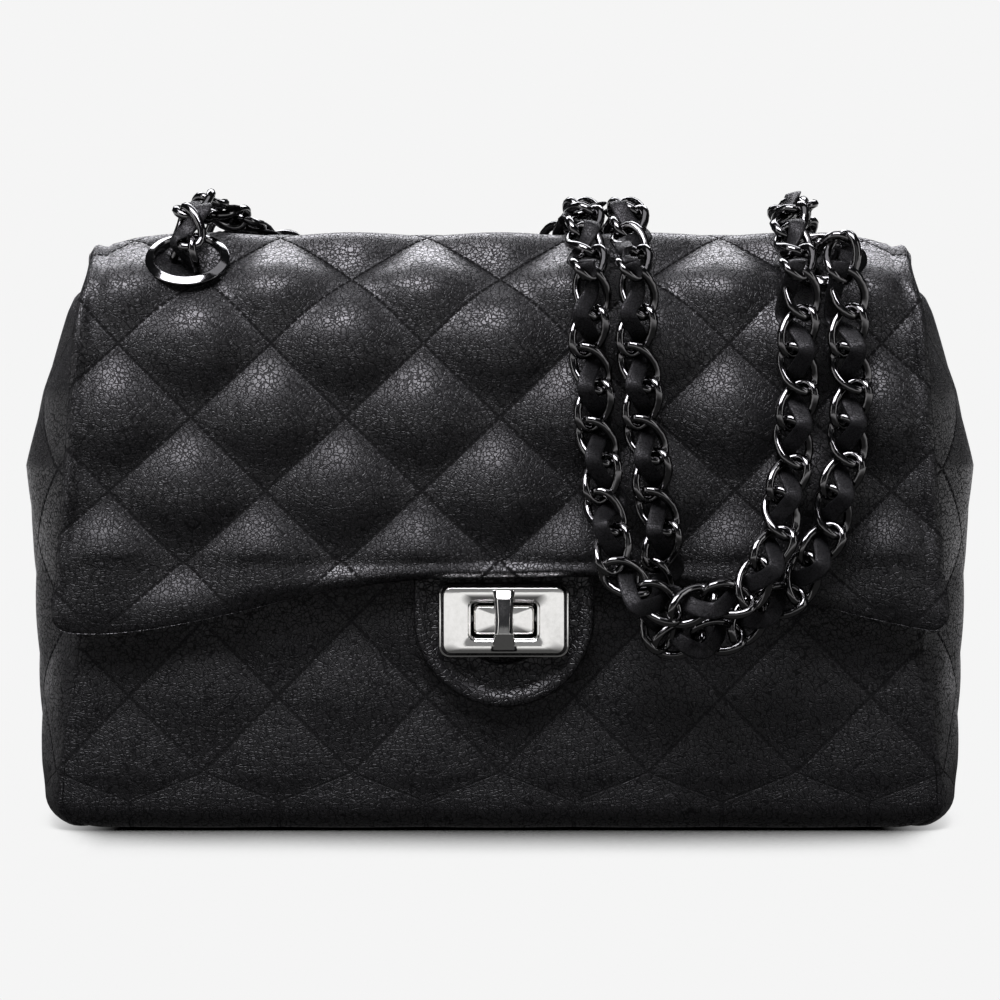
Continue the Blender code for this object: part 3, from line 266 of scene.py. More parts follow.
class Nodes:
    """Short ways to add shader nodes to a tree."""

    def __init__(self, tree: bpy.types.NodeTree) -> None:
        """Keep the tree."""
        self.tree = tree

    def fill(self, node: bpy.types.Node, inputs: dict) -> bpy.types.Node:
        """Set a node's inputs, or link them.

        Args:
            node: the node.
            inputs: values or sockets, by the input's name or number.

        Returns:
            The same node.
        """
        for key, value in inputs.items():
            if isinstance(value, Socket):
                self.tree.links.new(value, node.inputs[key])
            else:
                node.inputs[key].default_value = value
        return node

    def add(self, kind: str, inputs: dict | None = None, **settings: object) -> bpy.types.Node:
        """Add a node of a kind with its own settings, and fill its inputs."""
        node = self.tree.nodes.new(kind)
        for key, value in settings.items():
            setattr(node, key, value)
        return self.fill(node, inputs or {})

    def group(self, tree: bpy.types.NodeTree, inputs: dict) -> bpy.types.NodeOutputs:
        """The outputs of a shared group."""
        return self.add("ShaderNodeGroup", inputs, node_tree=tree).outputs

    def math(self, operation: str, *values: Socket | float, clamp: bool = False) -> Socket:
        """The result of one sum."""
        inputs = dict(enumerate(values))
        return self.add("ShaderNodeMath", inputs, operation=operation, use_clamp=clamp).outputs[0]

    def vector(self, operation: str, inputs: dict) -> Socket:
        """The vector that comes of one sum."""
        return self.add("ShaderNodeVectorMath", inputs, operation=operation).outputs[0]

    def ramp(
        self,
        value: Socket,
        low: float,
        high: float,
        start: float = 0.0,
        end: float = 1.0,
        curve: str = "LINEAR",
    ) -> Socket:
        """A value's place between low and high, given as one between start and end."""
        inputs = {0: value, 1: low, 2: high, 3: start, 4: end}
        return self.add("ShaderNodeMapRange", inputs, interpolation_type=curve).outputs[0]

    def blend(self, share: Socket, first: Socket | Colour, second: Colour) -> Socket:
        """The first colour passing into the second by a share."""
        start = first if isinstance(first, Socket) else (*first, 1)
        inputs = {0: share, 6: start, 7: (*second, 1)}
        return self.add("ShaderNodeMix", inputs, data_type="RGBA").outputs[2]

    def edges(self, vector: Socket, scale: Socket) -> Socket:
        """Distance from the edges of a pattern of cells."""
        inputs = {"Vector": vector, "Scale": scale}
        return self.add("ShaderNodeTexVoronoi", inputs, feature="DISTANCE_TO_EDGE").outputs["Distance"]

    def noise(self, vector: Socket, scale: Socket, **more: float) -> bpy.types.NodeOutputs:
        """The outputs of a noise; more names its other inputs."""
        return self.add("ShaderNodeTexNoise", {"Vector": vector, "Scale": scale, **more}).outputs

    def either(self, share: Socket, first: bpy.types.Node, second: bpy.types.Node) -> bpy.types.Node:
        """The first node's light, or the second's where the share is 1."""
        return self.add("ShaderNodeMixShader", {0: share, 1: first.outputs[0], 2: second.outputs[0]})

    def bump(
        self, height: Socket, millimetres: float, under: Socket | None = None, strength: float = 1.0
    ) -> Socket:
        """The normal of a height in millimetres, over another normal if one is given."""
        inputs = {"Height": height, "Strength": strength, "Distance": millimetres * MM}
        if under is not None:
            inputs["Normal"] = under
        return self.add("ShaderNodeBump", inputs).outputs[0]


def new_group(name: str, inputs: dict, outputs: Sequence[str]) -> tuple[Nodes, bpy.types.NodeOutputs]:
    """An empty shader group with its sockets.

    Args:
        name: the group's name.
        inputs: each input's first value by name, or None where it takes a vector.
        outputs: names of the values that it gives.

    Returns:
        Ways to add nodes to it, and its inputs as sockets inside it.
    """
    tree = bpy.data.node_groups.new(name, "ShaderNodeTree")
    for label, value in inputs.items():
        kind = "NodeSocketVector" if value is None else "NodeSocketFloat"
        socket = tree.interface.new_socket(label, in_out="INPUT", socket_type=kind)
        if value is not None:
            socket.default_value = value
    for label in outputs:
        tree.interface.new_socket(label, in_out="OUTPUT", socket_type="NodeSocketFloat")
    nodes = Nodes(tree)
    return nodes, nodes.add("NodeGroupInput").outputs


def new_material(name: str) -> tuple[bpy.types.Material, Nodes, bpy.types.Node, bpy.types.NodeOutputs]:
    """A material, ways to add nodes to it, its shader and its texture coordinates."""
    material = bpy.data.materials.new(name)
    material.use_nodes = True
    nodes = Nodes(material.node_tree)
    place = nodes.add("ShaderNodeTexCoord").outputs
    return material, nodes, material.node_tree.nodes["Principled BSDF"], place


class Effects:
    """The shared shader groups, each built once."""

    def __init__(self) -> None:
        """Build the groups."""
        self.pebble = self._pebble()
        self.stitches = self._stitches()
        self.wear = self._wear()

    def _pebble(self) -> bpy.types.NodeTree:
        """Leather grain: cells with sunk edges, over longer creases, on bent coordinates."""
        nodes, source = new_group("pebble_grain", {"Vector": None, "Scale": 800.0}, ("Height", "Crease"))
        vector, scale = source["Vector"], source["Scale"]
        bend = nodes.noise(vector, nodes.math("MULTIPLY", scale, 0.35), Detail=2.0)["Color"]
        centred = nodes.vector("SUBTRACT", {0: bend, 1: (0.5, 0.5, 0.5)})
        shift = nodes.vector("SCALE", {0: centred, "Scale": 0.0022})
        bent = nodes.vector("ADD", {0: vector, 1: shift})
        dome = nodes.ramp(nodes.edges(bent, scale), 0.0, 0.13, curve=SMOOTH)
        folds = nodes.edges(bent, nodes.math("MULTIPLY", scale, 0.42))
        both = nodes.math("MULTIPLY", dome, nodes.ramp(folds, 0.0, 0.05, curve=SMOOTH))
        fine = nodes.noise(vector, nodes.math("MULTIPLY", scale, 3.1), Detail=3.0)["Fac"]
        height = nodes.math("ADD", both, nodes.math("MULTIPLY", fine, 0.22))
        crease = nodes.math("SUBTRACT", 1.0, both)
        nodes.add("NodeGroupOutput", {"Height": height, "Crease": crease})
        return nodes.tree

    def _stitches(self) -> bpy.types.NodeTree:
        """Rows of stitches on the lattice: two families of lines, broken into stitches.

        The lines lie where u + v, or u - v, is an odd number. Half that sum has its
        whole part dropped; what is left, less a half, is the distance from the line.
        """
        sockets = {"Lattice": None, "Pitch": 12.0}
        nodes, source = new_group("stitch_rows", sockets, ("Thread", "Groove", "Pillow"))
        parts = nodes.add("ShaderNodeSeparateXYZ", {0: source["Lattice"]}).outputs
        sums = [nodes.math(operation, parts[0], parts[1]) for operation in ("ADD", "SUBTRACT")]
        ways = [nodes.math("MULTIPLY", total, 0.5) for total in sums]
        threads, grooves, arches = [], [], []
        for here, other in (ways, ways[::-1]):
            distance = self._from_half(nodes, here)
            line = nodes.ramp(distance, 0.010, 0.015, 1.0, 0.0, SMOOTH)
            grooves.append(nodes.ramp(distance, 0.0, 0.030, 1.0, 0.0, SMOOTH))
            from_stitch = self._from_half(nodes, nodes.math("MULTIPLY", other, source["Pitch"]))
            stitch = nodes.ramp(from_stitch, 0.34, 0.44, 1.0, 0.0, SMOOTH)
            threads.append(nodes.math("MULTIPLY", line, stitch))
            arches.append(nodes.ramp(distance, 0.0, 0.5, curve="SMOOTHERSTEP"))
        nodes.add("NodeGroupOutput", {
            "Thread": nodes.math("MAXIMUM", *threads),
            "Groove": nodes.math("MAXIMUM", *grooves),
            "Pillow": nodes.math("POWER", nodes.math("MULTIPLY", *arches), 0.6),
        })
        return nodes.tree

    def _from_half(self, nodes: Nodes, value: Socket) -> Socket:
        """How far a value's fraction is from a half."""
        return nodes.math("ABSOLUTE", nodes.math("SUBTRACT", nodes.math("FRACT", value), 0.5))

    def _wear(self) -> bpy.types.NodeTree:
        """Handling marks: broad patches and fine smudges, from 0 to 1."""
        nodes, source = new_group("handling", {"Vector": None, "Scale": 25.0}, ("Patches", "Smudges"))
        vector, scale = source["Vector"], source["Scale"]
        broad = nodes.noise(vector, scale, Detail=3.0)["Fac"]
        fine = nodes.noise(vector, nodes.math("MULTIPLY", scale, 9.0), Detail=5.0, Roughness=0.6)["Fac"]
        nodes.add("NodeGroupOutput", {"Patches": broad, "Smudges": fine})
        return nodes.tree


@dataclass(frozen=True)
class Leather:
    """A leather: its colours, gloss and grain, with painted shade in the grain's creases. Grain and relief
    are in millimetres.
    """

    name: str
    colour: Colour
    crease: Colour
    # painted shade: the darker colour laid into the grain's creases
    roughness: float
    grain: float
    relief: float
    quilted: bool = False
    pillow: float = 0.0
    gloss: float = 0.9
    thread: Colour = (0.003, 0.003, 0.003)

    def build(self, effects: Effects) -> bpy.types.Material:
        """Make the material: a near-black base with painted shade in the grain's creases, under a coat that
        creases and seams interrupt.

        Args:
            effects: the shared groups.

        Returns:
            The material.
        """
        material, nodes, shader, place = new_material(self.name)
        grain = nodes.group(effects.pebble, {"Vector": place["Object"], "Scale": 1 / (self.grain * MM)})
        patches = nodes.group(effects.wear, {"Vector": place["Object"]})["Patches"]
        crease, height, normal = grain["Crease"], grain["Height"], None
        # painted shade: the base colour turns to the crease colour in the grain's creases
        base = nodes.blend(crease, self.colour, self.crease)
        rough = nodes.ramp(patches, 0.3, 0.7, self.roughness - 0.05, self.roughness + 0.07)
        rough = nodes.math("ADD", rough, nodes.math("MULTIPLY", crease, 0.35))
        gloss = nodes.ramp(crease, 0.10, 0.90, self.gloss, self.gloss * 0.22)
        if self.quilted:
            rows = nodes.group(effects.stitches, {"Lattice": place["UV"]})
            thread, groove = rows["Thread"], rows["Groove"]
            base = nodes.blend(thread, base, self.thread)
            height = nodes.math("SUBTRACT", height, nodes.math("MULTIPLY", groove, 1.3))
            rough = nodes.math("ADD", rough, thread, clamp=True)
            gloss = nodes.math("MULTIPLY", gloss, nodes.math("SUBTRACT", 1.0, thread))
            gloss = nodes.math("MULTIPLY", gloss, nodes.ramp(groove, 0.0, 1.0, 1.0, 0.6))
            normal = nodes.bump(rows["Pillow"], self.pillow)
        normal = nodes.bump(height, self.relief, normal)
        nodes.fill(shader, {
            "Base Color": base,
            "Roughness": rough,
            "Normal": normal,
            "Specular IOR Level": 0.10,
            "Specular Tint": SHEEN_TINT,
            "Coat Weight": gloss,
            "Coat Roughness": self.roughness,
            "Coat IOR": 1.45,
            "Coat Tint": SHEEN_TINT,
            "Coat Normal": normal,
        })
        return material


@dataclass(frozen=True)
class Metal:
    """A plated or plain metal: its colour, gloss and fine marks. Marks are in millimetres."""

    name: str
    colour: Colour
    dull: Colour
    roughness: float
    marks: float = 0.02

    def build(self, effects: Effects) -> bpy.types.Material:
        """Make the material: smudges dull its colour and gloss, patches dent it a little.

        Args:
            effects: the shared groups.

        Returns:
            The material.
        """
        material, nodes, shader, place = new_material(self.name)
        wear = nodes.group(effects.wear, {"Vector": place["Object"], "Scale": 90.0})
        nodes.fill(shader, {
            "Metallic": 1.0,
            "Base Color": nodes.blend(wear["Smudges"], self.colour, self.dull),
            "Roughness": nodes.ramp(wear["Smudges"], 0.35, 0.7, self.roughness, self.roughness * 1.8),
            "Normal": nodes.bump(wear["Patches"], self.marks, strength=0.5),
        })
        return material


class Finishes:
    """Every finish of the bag, built once."""

    def __init__(self) -> None:
        """Build the materials."""
        effects = Effects()
        # The second colour of each leather below is painted shade, laid into its grain's creases.
        black, crease_shade = (0.0022, 0.0022, 0.0024), (0.0005, 0.0005, 0.0006)
        lace, lining = (0.0035, 0.0035, 0.0038), (0.022, 0.021, 0.021)
        # The board's second colour is painted shade in its grain's creases too.
        board, board_crease_shade = (0.06, 0.052, 0.045), (0.03, 0.026, 0.022)
        gun, gun_dull = (0.135, 0.133, 0.135), (0.095, 0.093, 0.095)
        bright, bright_dull = (0.86, 0.85, 0.84), (0.78, 0.77, 0.75)
        knob, knob_dull = (0.70, 0.69, 0.68), (0.60, 0.59, 0.58)
        grey, grey_dull = (0.52, 0.52, 0.52), (0.40, 0.40, 0.40)
        self.quilted = Leather("black_flap_leather", black, crease_shade, 0.40, 1.25, 0.09, True, 2.2).build(effects)
        self.panels = Leather("black_panel_leather", black, crease_shade, 0.42, 1.3, 0.08, True, 0.5).build(effects)
        self.plain = Leather("black_plain_leather", black, crease_shade, 0.40, 1.25, 0.07).build(effects)
        self.tab = Leather("tab_leather", black, crease_shade, 0.36, 1.7, 0.12).build(effects)
        self.lace = Leather("lace_leather", lace, crease_shade, 0.45, 0.9, 0.03, gloss=0.25).build(effects)
        self.lining = Leather("lining_leather", lining, crease_shade, 0.55, 0.7, 0.08).build(effects)
        self.board = Leather("pressed_board", board, board_crease_shade, 0.75, 2.2, 0.05).build(effects)
        self.gunmetal = Metal("gunmetal_plating", gun, gun_dull, 0.07).build(effects)
        self.silver = Metal("polished_silver_plating", bright, bright_dull, 0.06, 0.006).build(effects)
        self.knob = Metal("knob_plating", knob, knob_dull, 0.07, 0.006).build(effects)
        self.steel = Metal("plain_steel", grey, grey_dull, 0.32).build(effects)


def finish_piece(
    piece: bpy.types.Object, material: bpy.types.Material, body: str, slot: str, *nodes: str
) -> None:
    """Dress a piece, fix it to its body and let it stand for its CAD nodes.

    Args:
        piece: the object.
        material: its finish.
        body: the body that it moves with.
        slot: the record's material slot; not used.
        nodes: the CAD nodes that it replaces.
    """
    piece.data.materials.clear()
    piece.data.materials.append(material)
    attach(piece, body)
    if nodes:
        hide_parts(*nodes)
    LOG.info("%s on %s: %d points", piece.name, body, len(piece.data.vertices))


def dress_node(name: str, material: bpy.types.Material) -> None:
    """Give a CAD node that stays in view its finish."""
    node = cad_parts[name]
    for slot in node.material_slots:
        slot.material = material
    if not node.material_slots:
        node.data.materials.append(material)
    LOG.info("%s dressed", name)


# Shell of the bag


FLOOR_GAP = 0.02


@dataclass
class Quilt:
    """Padding between the rows of stitches of a diamond lattice.

    Height is from seam to crown, sink is how far a seam lies below the base, and a lower
    fullness makes the diamonds squarer on top.
    """

    height: float = 3.4
    sink: float = 2.4
    fullness: float = 0.78

    def lift(self, u: Array, v: Array, seed: int) -> Array:
        """How far the surface stands out: a power of the product of two rows of cosine arches.

        Args:
            u: place across, in half diamonds.
            v: place along, in half diamonds.
            seed: seed of the unevenness.

        Returns:
            Height in millimetres, which is least on each row of stitches.
        """
        one = np.abs(np.cos(math.pi * (u + v) / 2))
        two = np.abs(np.cos(math.pi * (u - v) / 2))
        uneven = 1 + 0.06 * waves(u, v, seed) + 0.04 * waves(3 * u, 3 * v, seed + 1)
        return self.height * (one * two) ** self.fullness * uneven - self.sink


def edge_fade(rows: Array, columns: Array, width: float) -> Array:
    """0 on the grid's rim and 1 beyond width, from distances to the rim of each row and column."""
    return smooth_step(rows[:, None], 0, width) * smooth_step(columns[None, :], 0, width)


def rim_distance(points: Array) -> tuple[Array, Array]:
    """Distance of each grid row, and each column, from the nearer rim, at the grid's middle."""
    down = along(points[:, points.shape[1] // 2])
    over = along(points[points.shape[0] // 2])
    return np.minimum(down, down[-1] - down), np.minimum(over, over[-1] - over)


def padded_shell(
    name: str,
    base: Array,
    lattice: Array,
    quilt: Quilt,
    thickness: float,
    seed: int,
    fade: float = 7.0,
    roll: float = 1.6,
    drop: float = 0.9,
    calm: Array | float = 1.0,
    welt: Array | float = 0.0,
) -> bpy.types.Object:
    """A quilted sheet with a rolled rim on a grid of its outer surface.

    The outer face is the base moved out by the quilt, which fades to nothing at the
    rim. Both faces draw together there along a quarter ellipse, and stay off the floor.

    Args:
        name: the piece's name.
        base: grid of points of the outer surface.
        lattice: grid of lattice coordinates.
        quilt: the padding.
        thickness: of the sheet.
        seed: seed of the unevenness.
        fade: distance from the rim at which the quilt is whole.
        roll: distance from the rim at which the sheet has its whole thickness.
        drop: how far the rim lies below the base.
        calm: share of the quilting kept, over the whole sheet or at each point.
        welt: height added, over the whole sheet or at each point.

    Returns:
        The object.
    """
    normals = grid_normals(base)
    rows, columns = rim_distance(base)
    whole = edge_fade(rows, columns, fade)
    puff = quilt.lift(lattice[..., 0], lattice[..., 1], seed) * calm * whole - drop * (1 - whole) + welt
    near = np.minimum(np.minimum(rows[:, None], roll), np.minimum(columns[None, :], roll)) / roll
    round_off = np.sqrt(np.clip(1 - (1 - near) ** 2, 0.02, 1))
    middle = base - normals * thickness / 2
    outer = middle + normals * (thickness / 2 * round_off + puff)[..., None]
    inner = middle - normals * (thickness / 2 * round_off)[..., None]
    outer[..., 2] = np.maximum(outer[..., 2], 0.0)
    inner[..., 2] = np.maximum(inner[..., 2], FLOOR_GAP)
    return shell(name, outer, inner, lattice)


@dataclass
class Body:
    """Front, back, gussets, base and lining of the bag.

    Each row is a height as a share of the bag's, then shares of the half width at the
    gussets' fold and at the seams, and of the half depth at the front and at the back.
    """

    wall: float = 3.0
    radius: float = 9.0
    hem: float = 3.7
    gap: float = 0.3
    front_top: float = 160.0
    back_top: float = 170.0
    panel_pitch: float = 22.85
    panel_grid: tuple = (150, 0.012)
    grid_step: float = 1.7
    gusset_top: float = 165.0
    gusset_rise: float = 3.0
    gusset_slant: float = 10.0
    gusset_power: float = 2.4
    gusset_pitch: float = 22.8
    gusset_grid: tuple = (70, 0.02)
    fold_share: float = 0.600
    lining_low: float = 5.1
    lining_round: float = 6.0
    lining_top: float = 163.5
    lining_gap: float = 0.8
    lock_room: float = 3.6
    rows: tuple = (
        (0.049, 0.963, 0.910, 0.950, 0.950),
        (0.099, 0.969, 0.906, 0.969, 0.959),
        (0.226, 0.977, 0.880, 0.996, 0.971),
        (0.352, 0.983, 0.859, 1.008, 0.980),
        (0.478, 0.989, 0.853, 1.019, 0.980),
        (0.604, 1.000, 0.853, 1.101, 0.980),
        (0.731, 0.963, 0.851, 1.101, 0.956),
        (0.857, 0.911, 0.846, 1.010, 0.925),
        (0.939, 0.877, 0.843, 0.930, 0.910),
    )

    def step(self, height: Array) -> Array:
        """The quilting's step at each height: the rows of the table are one step apart."""
        table = np.array(self.rows)
        return np.interp(np.asarray(height) / HEIGHT, table[:, 0], np.arange(len(table)))

    def section(self, height: Array) -> Array:
        """Half widths at fold and seam, and depths to front and back, at each height."""
        table = np.array(self.rows)
        scale = (HALF_WIDTH, HALF_WIDTH, DEPTH, DEPTH)
        share = np.asarray(height) / HEIGHT
        return np.stack([np.interp(share, table[:, 0], table[:, i + 1]) * scale[i] for i in range(4)], -1)

    def wall_line(self, top: float) -> tuple[Array, Array]:
        """Inset and height up a wall: flat hem, quarter circle into the wall, straight up."""
        turn = np.linspace(0, math.pi / 2, 10)
        inset = np.concatenate(((self.radius + self.hem,), self.radius * (1 - np.sin(turn))))
        height = np.concatenate(((0.0,), self.radius * (1 - np.cos(turn))))
        up = np.linspace(self.radius + 1.6, top, int((top - self.radius) / self.grid_step))
        return np.concatenate((inset, np.zeros(len(up)))), np.concatenate((height, up))

    def bow(self, share: Array, seam: Array, fold: Array) -> Array:
        """Half width across the depth: out from both seams to the fold, as a power curve."""
        return seam + (fold - seam) * (1 - np.abs(2 * share - 1) ** self.gusset_power)

    def mouth(self, share: Array) -> Array:
        """Rise of a gusset's rim across the depth: an arch on a slant up to the back."""
        return self.gusset_rise * np.sin(math.pi * share) + self.gusset_slant * (share - 0.5)

    def panel(self, side: Side) -> tuple[Array, Array]:
        """Grid and lattice of the front or back panel."""
        inset, height = self.wall_line(self.front_top if side is Side.FRONT else self.back_top)
        _, seam, front, back = (column[:, None] - inset[:, None] for column in self.section(height).T)
        x = -side.sign * (crowded(*self.panel_grid) * 2 - 1) * seam
        y = np.broadcast_to(-front if side is Side.FRONT else back, x.shape)
        z = np.broadcast_to(height[:, None], x.shape)
        return np.stack((x, y, z), -1), np.stack((x / self.panel_pitch, self.step(z)), -1)

    def gusset(self, side: Side) -> tuple[Array, Array]:
        """Grid and lattice of a gusset: each row bows out from both seams to the fold."""
        inset, height = self.wall_line(self.gusset_top)
        share = crowded(*self.gusset_grid)[None, :]
        fold_height = self.fold_share * HEIGHT
        lift = np.clip((height - fold_height) / (self.gusset_top - fold_height), 0, None)[:, None]
        z = height[:, None] + lift * self.mouth(share)
        fold, seam, front, back = (self.section(z)[..., i] - inset[:, None] for i in range(4))
        x = side.sign * self.bow(share, seam + self.gap, fold)
        base = np.stack((x, -front + (front + back) * share, z), -1)
        if side is Side.LEFT:
            base = base[:, ::-1]
        return base, np.stack((base[..., 1] / self.gusset_pitch, self.step(base[..., 2])), -1)

    def outline(self, inset: float, count: int = 40) -> Array:
        """The bag's plan at the base, drawn in by inset, as a ring of points."""
        share = np.linspace(0, 1, count)
        fold, seam, front, back = self.section(0.0) - inset
        x = self.bow(share, seam + self.hem, fold)
        return mirrored(np.column_stack((x, -front + (front + back) * share)))

    def build(self, finishes: Finishes) -> None:
        """Make and dress every piece of the bag's body, whose quilting is flatter low down."""
        quilt = Quilt(2.4, 1.8, 0.75)
        for side, node, seed in ((Side.FRONT, "front_panel", 3), (Side.BACK, "back_panel", 5)):
            base, lattice = self.panel(side)
            calm = 0.10 + 0.75 * smooth_step(base[..., 2], 8, 60)
            piece = padded_shell(node + "_quilt", base, lattice, quilt, self.wall, seed, calm=calm)
            finish_piece(piece, finishes.panels, "bag", "quilted_leather", node)
        for side, node, seed in ((Side.LEFT, "gusset_left", 7), (Side.RIGHT, "gusset_right", 9)):
            base, lattice = self.gusset(side)
            height = base[..., 2]
            calm = (0.6 - 0.3 * smooth_step(height, 60, 110)) * smooth_step(height, 4, 40)
            piece = padded_shell(node + "_quilt", base, lattice, quilt, self.wall, seed, drop=0.5, calm=calm)
            finish_piece(piece, finishes.panels, "bag", "quilted_leather", node)
        ring = self.outline(self.radius + self.hem + self.gap)
        base = self.slab("base_leather", ring, 0.0, self.wall, 0.9)
        finish_piece(base, finishes.plain, "bag", "quilted_leather", "base_panel")
        self.line(finishes)

    def slab(self, name: str, ring: Array, low: float, high: float, edge: float) -> bpy.types.Object:
        """A flat piece on an outline with rounded rims: insets follow a quarter circle."""
        turn = np.linspace(0, math.pi / 2, 5)
        early, late = edge * (1 - np.sin(turn)), edge * (1 - np.cos(turn))
        heights = np.concatenate((low + late, high - early))
        shares = 1 - np.concatenate((early, late)) / np.abs(ring).max()
        rings = [level(ring * share, height) for share, height in zip(shares, heights)]
        return tube(name, np.array(rings), wrap=False)

    def line(self, finishes: Finishes) -> None:
        """The lining: a cup just inside the walls, whose mouth is turned over."""
        low, top = self.lining_low, self.lining_top
        heights = np.concatenate((np.linspace(low, 12, 6), np.linspace(16, 150, 40), (156.0, top)))
        share = np.linspace(0, 1, 48)
        rows = []
        for height in heights:
            inset = max(0.0, self.lining_round - (height - low)) * 0.9 + self.wall
            z = height + (height == top) * self.mouth(share)
            fold, seam, front, back = self.section(z).T - inset - self.lining_gap
            x = self.bow(share, seam + self.hem, fold)
            y = np.maximum(-front + (front + back) * share, inset + self.lock_room - self.section(z)[:, 2])
            rows.append(mirrored(np.column_stack((x, y, z))))
        outer = np.array(rows)
        inner = outer * (0.994, 0.985, 1.0) + (0, 0, 0.4)
        inner[-1, :, 2] = outer[-1, :, 2]
        piece = tube("lining_cup", np.concatenate((outer, inner[::-1])), wrap=False)
        finish_piece(piece, finishes.lining, "bag", "lining_leather", "lining")


@dataclass
class Flap:
    """The quilted flap and its lining.

    Each row of shares is a depth, a height and a half width as shares of the bag's, then
    the quilting's step. Each row of the edge is a place across and a height. The shoulder
    is drawn in between two places across, by a depth. A pair of steps is the middle and
    width of a bell along the quilting. The welt and the dip beside it are bells too, in
    distance from the rim.
    """

    thickness: float = 3.0
    lining: float = 1.0
    gap: float = 0.3
    half_diamonds: float = 5.6
    shares: tuple = (
        (0.900, 0.9207, 0.847, -3.60), (0.886, 0.9330, 0.850, -3.45), (0.830, 0.9415, 0.853, -3.30),
        (0.720, 0.9440, 0.860, -3.00), (0.140, 0.9430, 0.872, -2.00), (-0.080, 0.9530, 0.870, -1.50),
        (-0.280, 0.9740, 0.862, -1.00), (-0.440, 0.9920, 0.853, -0.50), (-0.580, 1.0000, 0.847, -0.20),
        (-0.672, 0.9988, 0.845, 0.00), (-1.007, 0.9282, 0.844, 1.00), (-1.130, 0.9023, 0.857, 1.32),
        (-1.176, 0.8716, 0.862, 1.56), (-1.208, 0.8143, 0.868, 2.00), (-1.220, 0.6924, 0.878, 3.00),
        (-1.219, 0.5704, 0.890, 4.00), (-1.211, 0.4485, 0.903, 5.00),
    )
    fine_step: float = 0.5
    grid_step: float = 1.7
    softness: int = 61
    low_width: float = 0.915
    low_depth: float = -1.206
    corner: float = 6.0
    columns: int = 150
    lining_columns: int = 60
    shoulder: tuple = (102.0, 130.0, 4.5)
    shoulder_steps: tuple = (-0.25, 0.6)
    ridge_steps: tuple = (-0.3, 0.55)
    ridge_calm: float = 0.72
    welt: tuple = (2.0, 1.4)
    dip: tuple = (5.0, 1.1)
    dip_depth: float = 0.6
    edge: tuple = (
        (-137.2, 62.5), (-122.0, 61.9), (-106.7, 63.4), (-91.0, 66.3), (-76.2, 69.6),
        (-51.8, 75.2), (-24.4, 78.6), (0.0, 79.3), (30.5, 79.2), (61.0, 76.0),
        (91.4, 71.8), (112.8, 66.8), (131.1, 63.0), (137.2, 62.5),
    )

    def edge_height(self, x: Array, half: float) -> Array:
        """Height of the lower edge, smooth through its points, with a round corner at each end."""
        curve = smooth_curve(np.array(self.edge), 8)
        over = np.clip((np.abs(x) - (half - self.corner)) / self.corner, 0, 1)
        return np.interp(x, curve[:, 0], curve[:, 1]) + self.corner * (1 - np.sqrt(1 - over**2))

    def profile(self, table: Array) -> tuple[Array, float]:
        """The line from the hinge to the tab, averaged under a bell so that no bend is sharp.

        Args:
            table: the shares in millimetres.

        Returns:
            The soft line's rows, and the length of the line before it was softened.
        """
        dense = smooth_curve(table, 24)
        length = along(dense[:, :2])[-1]
        even = resample(dense, np.linspace(0, 1, int(length / self.fine_step)))
        bell = np.hanning(self.softness)[:, None]
        reach = self.softness // 2
        padded = np.pad(even, ((reach, reach), (0, 0)), "reflect", reflect_type="odd")
        soft = sum(padded[i:i + len(even)] * bell[i] for i in range(self.softness)) / bell.sum()
        return soft, length

    def sheet(self, count: int) -> tuple[Array, Array]:
        """Grid and lattice of the flap's outer surface, from the hinge to the lower edge."""
        table = np.array(self.shares) * (DEPTH, HEIGHT, HALF_WIDTH, 1)
        soft, length = self.profile(table)
        y, z, half, step = resample(soft, crowded(int(length / self.grid_step), 0.008)[:-5]).T[..., None]
        columns = crowded(count, 0.014) * 2 - 1
        x = columns * half
        upper = np.stack(np.broadcast_arrays(x, y, z), -1)
        share = crowded(20, 0.06)[5:][1:, None]
        start = upper[-1]
        edge_x = columns * self.low_width * HALF_WIDTH
        low_z = self.edge_height(edge_x, self.low_width * HALF_WIDTH)
        lower_x = start[:, 0] + (edge_x - start[:, 0]) * smooth_step(share, 0, 1)
        lower_y = start[:, 1] + (self.low_depth * DEPTH - start[:, 1]) * share
        lower_z = start[:, 2] + (low_z - start[:, 2]) * share
        lower = np.stack((lower_x, lower_y, lower_z), -1)
        base = np.concatenate((upper, lower))
        pitch = table[-2, 1] - table[-1, 1]
        lower_step = table[-1, 3] + (start[:, 2] - lower_z) / pitch
        steps = np.concatenate((np.broadcast_to(step, x.shape), lower_step))
        across = base[..., 0] / np.abs(base[:, -1:, 0]) * self.half_diamonds
        start_x, end_x, depth = self.shoulder
        ends = smooth_step(np.abs(base[..., 0]), start_x, end_x) ** 1.5
        ends *= bell_curve(steps, *self.shoulder_steps)
        base = base[:, ::-1]
        base = base - grid_normals(base) * (depth * ends[:, ::-1])[..., None]
        return base, np.stack((across, steps), -1)[:, ::-1]

    def build(self, finishes: Finishes) -> None:
        """Make and dress the flap, calmer on the ridge and with a welt round its rim, and its lining."""
        base, lattice = self.sheet(self.columns)
        calm = 1 - self.ridge_calm * bell_curve(lattice[..., 1], *self.ridge_steps)
        rows, columns = rim_distance(base)
        rim = np.minimum(rows[:, None], columns[None, :])
        welt = bell_curve(rim, *self.welt) - self.dip_depth * bell_curve(rim, *self.dip)
        sizes = (self.thickness, 21, 9.0, 1.8, 0.9)
        piece = padded_shell("flap_quilt", base, lattice, Quilt(), *sizes, calm, welt)
        finish_piece(piece, finishes.quilted, "flap", "quilted_leather", "flap")
        base, lattice = self.sheet(self.lining_columns)
        base = base - grid_normals(base) * (self.thickness + self.gap)
        plain = Quilt(0.0, 0.0)
        inner = padded_shell("flap_lining_sheet", base, lattice, plain, self.lining, 23, 6.5, 0.6, 0.0)
        finish_piece(inner, finishes.plain, "flap", "smooth_leather", "flap_lining")


# Metal fittings


